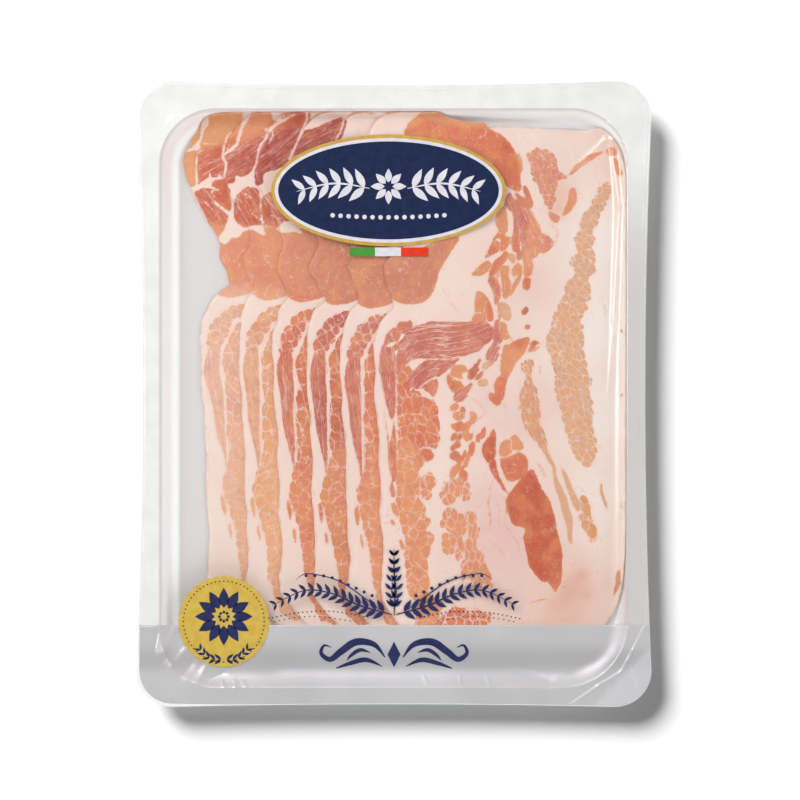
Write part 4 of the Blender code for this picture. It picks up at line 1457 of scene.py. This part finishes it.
def flatPlates(name, outlines, height=None):
    # flat shapes as thin closed plates, at one height or along the film
    points, faces = [], []
    for outline in outlines:
        start, count = len(points), len(outline)
        x, y = np.array(outline).T
        if height is None:
            z = filmHeight(x, y) + film["thickness"] + label["lift"]
        else:
            z = np.full(count, height)
        points += list(zip(x, y, z))
        points += list(zip(x, y, z - label["thickness"]))
        faces.append(tuple(start + i for i in range(count)))
        faces.append(tuple(start + count + i for i in reversed(range(count))))
        for i in range(count):
            j = (i + 1) % count
            faces.append((start + count + i, start + count + j, start + j, start + i))
    piece = meshObject(name, points, faces)
    piece.data.polygons.foreach_set("use_smooth", [False] * len(piece.data.polygons))
    return piece


def plate(name, outlines, level, material, slot, nodes=()):
    piece = flatPlates(name, outlines, printHeight(outlines[0], level))
    wear(piece, material, slot, *nodes)
    return piece


def stroke(path, steps=8):
    # the outline of a brush stroke: each point has a half-width; the ends run out to points
    track = smoothPath([(*onPack(x, y), half * drawing["unit"]) for x, y, half in path], steps)
    flow = np.gradient(track[:, :2], axis=0)
    side = np.stack((-flow[:, 1], flow[:, 0]), 1) / np.linalg.norm(flow, axis=1)[:, None]
    left = track[:, :2] + side * track[:, 2:]
    right = track[:, :2] - side * track[:, 2:]
    return [tuple(point) for point in np.concatenate((right, left[::-1]))]


def leafOutline(length, width, steps=6):
    # a pointed leaf from the origin along x
    shares = [i / steps for i in range(steps + 1)]
    rise = [width / 2 * math.sin(math.pi * share ** 0.8) for share in shares]
    lower = [(length * share, -h) for share, h in zip(shares, rise)]
    upper = [(length * share, h) for share, h in zip(shares, rise)]
    return lower + upper[-2:0:-1]


def discOutline(radius, steps=14):
    angles = [2 * math.pi * i / steps for i in range(steps)]
    return [(radius * math.cos(angle), radius * math.sin(angle)) for angle in angles]


def makeRepeat():
    # a node group that sets copies of a shape along a path
    group = bpy.data.node_groups.new("repeatAlongPath", "GeometryNodeTree")
    inputs = (
        ("Path", "NodeSocketGeometry"), ("Shape", "NodeSocketObject"), ("Count", "NodeSocketInt"),
        ("Size", "NodeSocketFloat"), ("Taper", "NodeSocketFloat"), ("Turn", "NodeSocketFloat"),
        ("Print", "NodeSocketMaterial"),
    )
    for name, kind in inputs:
        group.interface.new_socket(name, in_out="INPUT", socket_type=kind)
    group.interface.new_socket("Geometry", in_out="OUTPUT", socket_type="NodeSocketGeometry")
    given = group.nodes.new("NodeGroupInput").outputs

    def add(kind, settings=None, values=None, output=0):
        node = group.nodes.new(kind)
        for name, value in (settings or {}).items():
            setattr(node, name, value)
        for name, value in (values or {}).items():
            if hasattr(value, "is_linked"):
                group.links.new(value, node.inputs[name])
            else:
                node.inputs[name].default_value = value
        return node.outputs[output]

    def maths(operation, first, second):
        return add("ShaderNodeMath", {"operation": operation}, {0: first, 1: second})

    curve = add("GeometryNodeMeshToCurve", None, {"Mesh": given["Path"]})
    points = add("GeometryNodeCurveToPoints", {"mode": "COUNT"}, {"Curve": curve, "Count": given["Count"]})
    along = add("FunctionNodeAlignRotationToVector", {"axis": "X", "pivot_axis": "Z"},
                {"Vector": points.node.outputs["Tangent"]})
    index = add("GeometryNodeInputIndex")
    euler = add("ShaderNodeCombineXYZ", None, {"Z": given["Turn"]})
    spin = add("FunctionNodeEulerToRotation", None, {"Euler": euler})
    turned = add("FunctionNodeRotateRotation", {"rotation_space": "LOCAL"},
                 {"Rotation": along, "Rotate By": spin})
    shrink = maths("MULTIPLY", maths("DIVIDE", index, given["Count"]), given["Taper"])
    across = maths("MULTIPLY", maths("SUBTRACT", 1.0, shrink), given["Size"])
    # the plate keeps its thickness
    size = add("ShaderNodeCombineXYZ", None, {"X": across, "Y": across, "Z": 1.0})
    shape = add("GeometryNodeObjectInfo", None, {"Object": given["Shape"]}, output="Geometry")
    placed = add("GeometryNodeInstanceOnPoints", None,
                 {"Points": points, "Instance": shape, "Rotation": turned, "Scale": size})
    real = add("GeometryNodeRealizeInstances", None, {"Geometry": placed})
    painted = add("GeometryNodeSetMaterial", None, {"Geometry": real, "Material": given["Print"]})
    group.links.new(painted, group.nodes.new("NodeGroupOutput").inputs["Geometry"])
    return group


def repeatAlong(name, path, height, shape, material, slot, count, size=1.0, turn=0.0, taper=0.0,
                closed=False):
    last = len(path) - 1
    edges = [(i, i + 1) for i in range(last)] + ([(last, 0)] if closed else [])
    mesh = bpy.data.meshes.new(name)
    mesh.from_pydata([(x, y, height) for x, y in path], edges, [])
    holder = bpy.data.objects.new(name + "Path", mesh)
    packPieces.objects.link(holder)
    values = {"Shape": shape, "Count": count, "Size": size, "Taper": taper, "Turn": math.radians(turn),
              "Print": material}
    modifier = holder.modifiers.new("repeat", "NODES")
    modifier.node_group = repeatGroup
    for item in repeatGroup.interface.items_tree:
        if item.in_out == "INPUT" and item.name in values:
            modifier[item.identifier] = values[item.name]
    piece = finished(holder, name)
    wear(piece, material, slot)
    return piece


def ovalPoints(inset=0.0):
    cx, cy, rx, ry = label["oval"]
    angles = np.arange(label["steps"]) * 2 * math.pi / label["steps"]
    return [onPack(cx + (rx - inset) * math.cos(a), cy - (ry - inset) * math.sin(a)) for a in angles]


def sealPoints():
    cx, cy, radius = label["seal"]
    count = label["scallops"] * 8
    points = []
    for i in range(count):
        angle = 2 * math.pi * i / count
        reach = radius - label["scallopDepth"] * (1 - abs(math.cos(angle * label["scallops"] / 2)))
        points.append(onPack(cx + reach * math.cos(angle), cy - reach * math.sin(angle)))
    return points


def printFinish(name, colour, other, metallic=0.0, roughness=0.4):
    finish = Finish(name, Metallic=metallic, Roughness=roughness, Specular_IOR_Level=0.15)
    spot = finish.place()
    finish.set("Base Color", finish.blend(finish.noise(spot, 3, 3).between(0.3, 0.7), colour, other))
    finish.bump(finish.noise(spot, 0.25, 2), 0.01 * mm)
    return finish.material


# half of each drawing, in drawing units: x from its middle line, y down the pack, then the half-width
artwork = {
    "ovalBranch": ((24, 187), (44, 183.5), (64, 184), (84, 189)),
    "ovalStem": ((19, 188, 0.3), (44, 183.5, 0.9), (64, 184, 0.9), (92, 191, 0.2)),
    "ovalDots": (-56, -28, 0, 28, 56), "ovalDotsY": 217, "ovalDotsBend": 1500,
    "sealSprig": ((3, 659.5), (10, 659.5), (17, 656.5), (23, 650.5)),
    "middle": 394,
    "garland": ((10, 612), (34, 606), (62, 594), (90, 591), (118, 604)),
    "berries": ((22, 596), (44, 586), (66, 577), (88, 576)),
    "dots": ((26, 618), (60, 612), (94, 613), (126, 619)),
    "lowDots": ((44, 621.5), (74, 617), (98, 618), (120, 622)),
    "stem": ((2, 615, 0.5), (34, 606, 0.8), (62, 594, 0.7), (90, 591, 0.6), (122, 606, 0.2)),
    "curl": ((14, 610, 0.3), (30, 598, 0.6), (56, 581, 0.6), (86, 574, 0.5), (98, 580, 0.2)),
    "mast": ((0, 616, 0.5), (1, 590, 0.8), (0, 570, 0.6), (0, 549, 0.2)),
    "mastLeaves": ((0.6, 607), (3, 588), (1.5, 570), (0.2, 556)),
    "scrolls": (
        ((9, 658, 0.4), (20, 645, 2.6), (38, 642.5, 3.6), (53, 652, 3.4), (64, 660, 2.6), (73, 654, 1.9),
         (70, 646, 1.2), (63, 648, 0.3)),
        ((12, 667, 0.3), (28, 660.5, 2.3), (44, 664, 2), (58, 669, 0.5)),
        ((24, 653, 0.3), (34, 650.5, 1.9), (43, 656, 1.5), (47, 661, 0.3)),
    ),
    "diamond": ((-6.5, 655), (0, 668), (6.5, 655), (0, 642)),
}
bothSides = ((-1, "Left"), (1, "Right"))


def mirrored(path, middle, side):
    # a half drawing at the left (-1) or the right (1) of its middle
    return [(middle + side * x, *rest) for x, *rest in path]


def halfOf(part, side):
    return mirrored(artwork[part], artwork["middle"], side)


def drawn(path):
    return [onPack(x, y) for x, y in smoothPath(path, 8)]


def ring(cx, cy, radius, steps=72):
    angles = [2 * math.pi * i / steps for i in range(steps)]
    return [onPack(cx + radius * math.cos(a), cy - radius * math.sin(a)) for a in angles]


def makeLabels():
    navy = printFinish("navyPrint", linear(26, 37, 71), linear(32, 43, 78))
    white = printFinish("whitePrint", linear(209, 207, 215), linear(221, 219, 225))
    gold = printFinish("goldPrint", linear(203, 162, 80), linear(216, 177, 92), 0.25, 0.35)
    green = printFinish("greenPrint", linear(70, 143, 55), linear(77, 150, 60))
    red = printFinish("redPrint", linear(216, 54, 32), linear(224, 62, 40))
    sealGold = printFinish("sealGold", linear(210, 176, 76), linear(220, 188, 88), 0.2, 0.4)
    plate("ovalRim", [ovalPoints()], 0, gold, "oval_label", ["oval_label"])
    plate("ovalLine", [ovalPoints(label["goldRim"])], 1, white, "oval_label")
    plate("ovalField", [ovalPoints(label["goldRim"] + label["whiteRim"])], 2, navy, "oval_label")
    left, right, first, second = label["strip"]
    top, bottom = label["stripTop"], label["stripBottom"]
    stripes = (("stripGreen", left, first, green), ("stripWhite", first, second, white),
               ("stripRed", second, right, red))
    for name, x0, x1, material in stripes:
        corners = [onPack(x0, bottom), onPack(x1, bottom), onPack(x1, top), onPack(x0, top)]
        replaced = ["colour_strip"] if name == "stripGreen" else []
        plate(name, [corners], 0, material, "colour_strip", replaced)
    plate("sealDisc", [sealPoints()], 3, sealGold, "seal_label", ["seal_label"])

    ink = printFinish("navyInk", linear(38, 44, 84), linear(46, 52, 92))
    leaf = flatPlates("leafShape", [leafOutline(1.0, 0.36)], 0)
    petal = flatPlates("petalShape", [leafOutline(1.0, 0.5)], 0)
    dot = flatPlates("dotShape", [discOutline(1.0)], 0)
    unit = drawing["unit"]

    def leafy(name, path, material, slot, count, size, turn, taper):
        # leaves at both sides of a twig
        for way in (-1, 1):
            repeatAlong(f"{name}{way + 1}", path, over, leaf, material, slot, count, size * unit,
                        way * turn, taper)

    # the oval: a flower between two leafy branches, with a row of dots below
    over = printHeight(ovalPoints(), 3)
    cx = label["oval"][0]
    for side, name in bothSides:
        branch = drawn(mirrored(artwork["ovalBranch"], cx, side))
        leafy(f"ovalLeaves{name}", branch, white, "oval_label", 6, 21, 52, 0.25)
        stem = stroke(mirrored(artwork["ovalStem"], cx, side))
        plate(f"ovalStem{name}", [stem], 3, white, "oval_label")
    flower = ring(cx, 186, 4)
    repeatAlong("ovalFlower", flower, over, petal, white, "oval_label", 8, 14 * unit, -90, closed=True)
    row = [(cx + x, artwork["ovalDotsY"] - x * x / artwork["ovalDotsBend"]) for x in artwork["ovalDots"]]
    repeatAlong("ovalDots", drawn(row), over, dot, white, "oval_label", 15, 2.3 * unit)

    # the seal: a ring of dots, a twelve-petalled flower and a pair of laurel sprigs
    over = printHeight(sealPoints(), 4)
    sx, sy, _ = label["seal"]
    heart = sy - 5
    outer, flower, inner = ring(sx, sy, 40.5), ring(sx, heart, 9), ring(sx, heart, 4.5)
    repeatAlong("sealDots", outer, over, dot, ink, "seal_label", 60, 0.8 * unit, closed=True)
    repeatAlong("sealFlower", flower, over, petal, ink, "seal_label", 12, 20 * unit, -90, closed=True)
    repeatAlong("sealHeart", inner, over, dot, ink, "seal_label", 8, 1.5 * unit, closed=True)
    for side, name in bothSides:
        sprig = drawn(mirrored(artwork["sealSprig"], sx, side))
        leafy(f"sealLaurel{name}", sprig, ink, "seal_label", 5, 8.5, 38, 0.2)

    # the garland over the lower end of the window
    over = printHeight(drawn(((300, 600), (394, 610), (490, 600))), 0)
    dotted = (("berries", "Berries", 9, 1.7), ("dots", "Dots", 24, 0.8), ("lowDots", "DotsLow", 16, 0.7))
    for side, name in bothSides:
        leafy(f"garlandLeaves{name}", drawn(halfOf("garland", side)), ink, "film", 15, 14, 46, 0.45)
        for part, title, count, size in dotted:
            path = drawn(halfOf(part, side))
            repeatAlong(f"garland{title}{name}", path, over, dot, ink, "film", count, size * unit)
        stems = [stroke(halfOf("stem", side)), stroke(halfOf("curl", side))]
        plate(f"garlandStems{name}", stems, 0, ink, "film")
        leafy(f"garlandTop{name}", drawn(halfOf("mastLeaves", side)), ink, "film", 7, 10, 40, 0.3)
    plate("garlandMast", [stroke(halfOf("mast", 1))], 0, ink, "film")

    # the flourish on the band
    strokes = []
    for side, _ in bothSides:
        strokes += [stroke(mirrored(scroll, artwork["middle"], side)) for scroll in artwork["scrolls"]]
    strokes.append([onPack(x, y) for x, y in halfOf("diamond", 1)])
    wear(flatPlates("bandFlourish", strokes), ink, "film")
    for shape in (leaf, petal, dot):
        bpy.data.objects.remove(shape)


def makeStage():
    stage = bpy.data.collections.new("stagePieces")
    bpy.context.scene.collection.children.link(stage)
    mesh = bpy.data.meshes.new("floor")
    half = studio["floorHalf"]
    corners = [(-half, -half, 0), (half, -half, 0), (half, half, 0), (-half, half, 0)]
    mesh.from_pydata(corners, [], [(0, 1, 2, 3)])
    floor = bpy.data.objects.new("floor", mesh)
    stage.objects.link(floor)
    finish = Finish("paleFloor", Roughness=0.9, Base_Color=(0.95, 0.95, 0.95), Specular_IOR_Level=0.0)
    mesh.materials.append(finish.material)
    return stage


studio = {
    "floorHalf": 3.0, "world": 0.21, "sun": 4.6, "sunAngle": 26, "sunTravel": (9.3, -11.4, -12),
    "glarePower": 1.7, "glareSize": 0.24, "glarePlace": (-0.5, 0.08, 0.7),
    "softPower": 3.3, "softSize": 0.44, "softPlace": (-0.42, 0.4, 0.62),
    "topPower": 4.0, "topSize": 3.0, "topPlace": (-0.2, 0.15, 1.2),
    "sidePower": 2.5, "fillPower": 6.3, "sideSize": 1.2, "sideAway": 0.95, "sideHeight": 0.5,
    "cameraHeight": 1.4, "view": 0.3104,
}


def addLight(name, kind, energy, place, target=(0, 0, 0), receivers=None, size=None, angle=None):
    data = bpy.data.lights.new(name, kind)
    data.energy = energy
    if size:
        data.shape = "SQUARE"
        data.size = size
    if angle:
        data.angle = math.radians(angle)
    lamp = bpy.data.objects.new(name, data)
    bpy.context.scene.collection.objects.link(lamp)
    lamp.location = place
    lamp.rotation_euler = (Vector(target) - Vector(place)).to_track_quat("-Z", "Y").to_euler()
    if receivers:
        lamp.light_linking.receiver_collection = receivers
    return lamp


def makeStudio(stage):
    world = bpy.data.worlds.new("studio")
    bpy.context.scene.world = world
    world.use_nodes = True
    background = world.node_tree.nodes["Background"]
    background.inputs["Color"].default_value = (1, 1, 1, 1)
    background.inputs["Strength"].default_value = studio["world"]
    travel = Vector(studio["sunTravel"]).normalized()
    addLight("floorSun", "SUN", studio["sun"], -travel, receivers=stage, angle=studio["sunAngle"])
    addLight("softBox", "AREA", studio["softPower"], studio["softPlace"], receivers=packPieces,
             size=studio["softSize"])
    panel = addLight("topPanel", "AREA", studio["topPower"], studio["topPlace"], receivers=packPieces,
                     size=studio["topSize"])
    panel.visible_glossy = False
    # four low panels light the tray's walls; the ones on the sun's side also mirror in the film
    panels = (("leftPanel", -1, 0, True), ("backPanel", 0, 1, True), ("rightPanel", 1, 0, False),
              ("frontPanel", 0, -1, False))
    for name, x, y, mirrors in panels:
        place = (x * studio["sideAway"], y * studio["sideAway"], studio["sideHeight"])
        power = studio["sidePower" if mirrors else "fillPower"]
        panel = addLight(name, "AREA", power, place, receivers=packPieces, size=studio["sideSize"])
        panel.visible_glossy = mirrors
    # a small box that only the clear film mirrors
    addLight("glareBox", "AREA", studio["glarePower"], studio["glarePlace"], receivers=clearPieces,
             size=studio["glareSize"])
    camera = bpy.data.cameras.new("camera")
    camera.sensor_width = 36
    camera.lens = 36 * studio["cameraHeight"] / studio["view"]
    camera.clip_end = 20
    eye = bpy.data.objects.new("camera", camera)
    bpy.context.scene.collection.objects.link(eye)
    middle = onPack(400, 400)
    eye.location = (middle[0], middle[1], studio["cameraHeight"] + 12 * mm)
    bpy.context.scene.camera = eye
    bpy.context.scene.view_settings.view_transform = "Standard"


stagePieces = makeStage()
makeStudio(stagePieces)
print("stage, light and camera ready")

trayShell = makeTray()
wear(trayShell, trayFinish(), "tray", "tray")
print("tray formed")

meat = meatFinish()
for sliceIndex in range(pile["count"]):
    makeSlice(sliceIndex, meat)
print("slices laid")

makeFilm(clearFinish(), silverFinish())
print("film sealed")

repeatGroup = makeRepeat()
makeLabels()
print("labels printed")
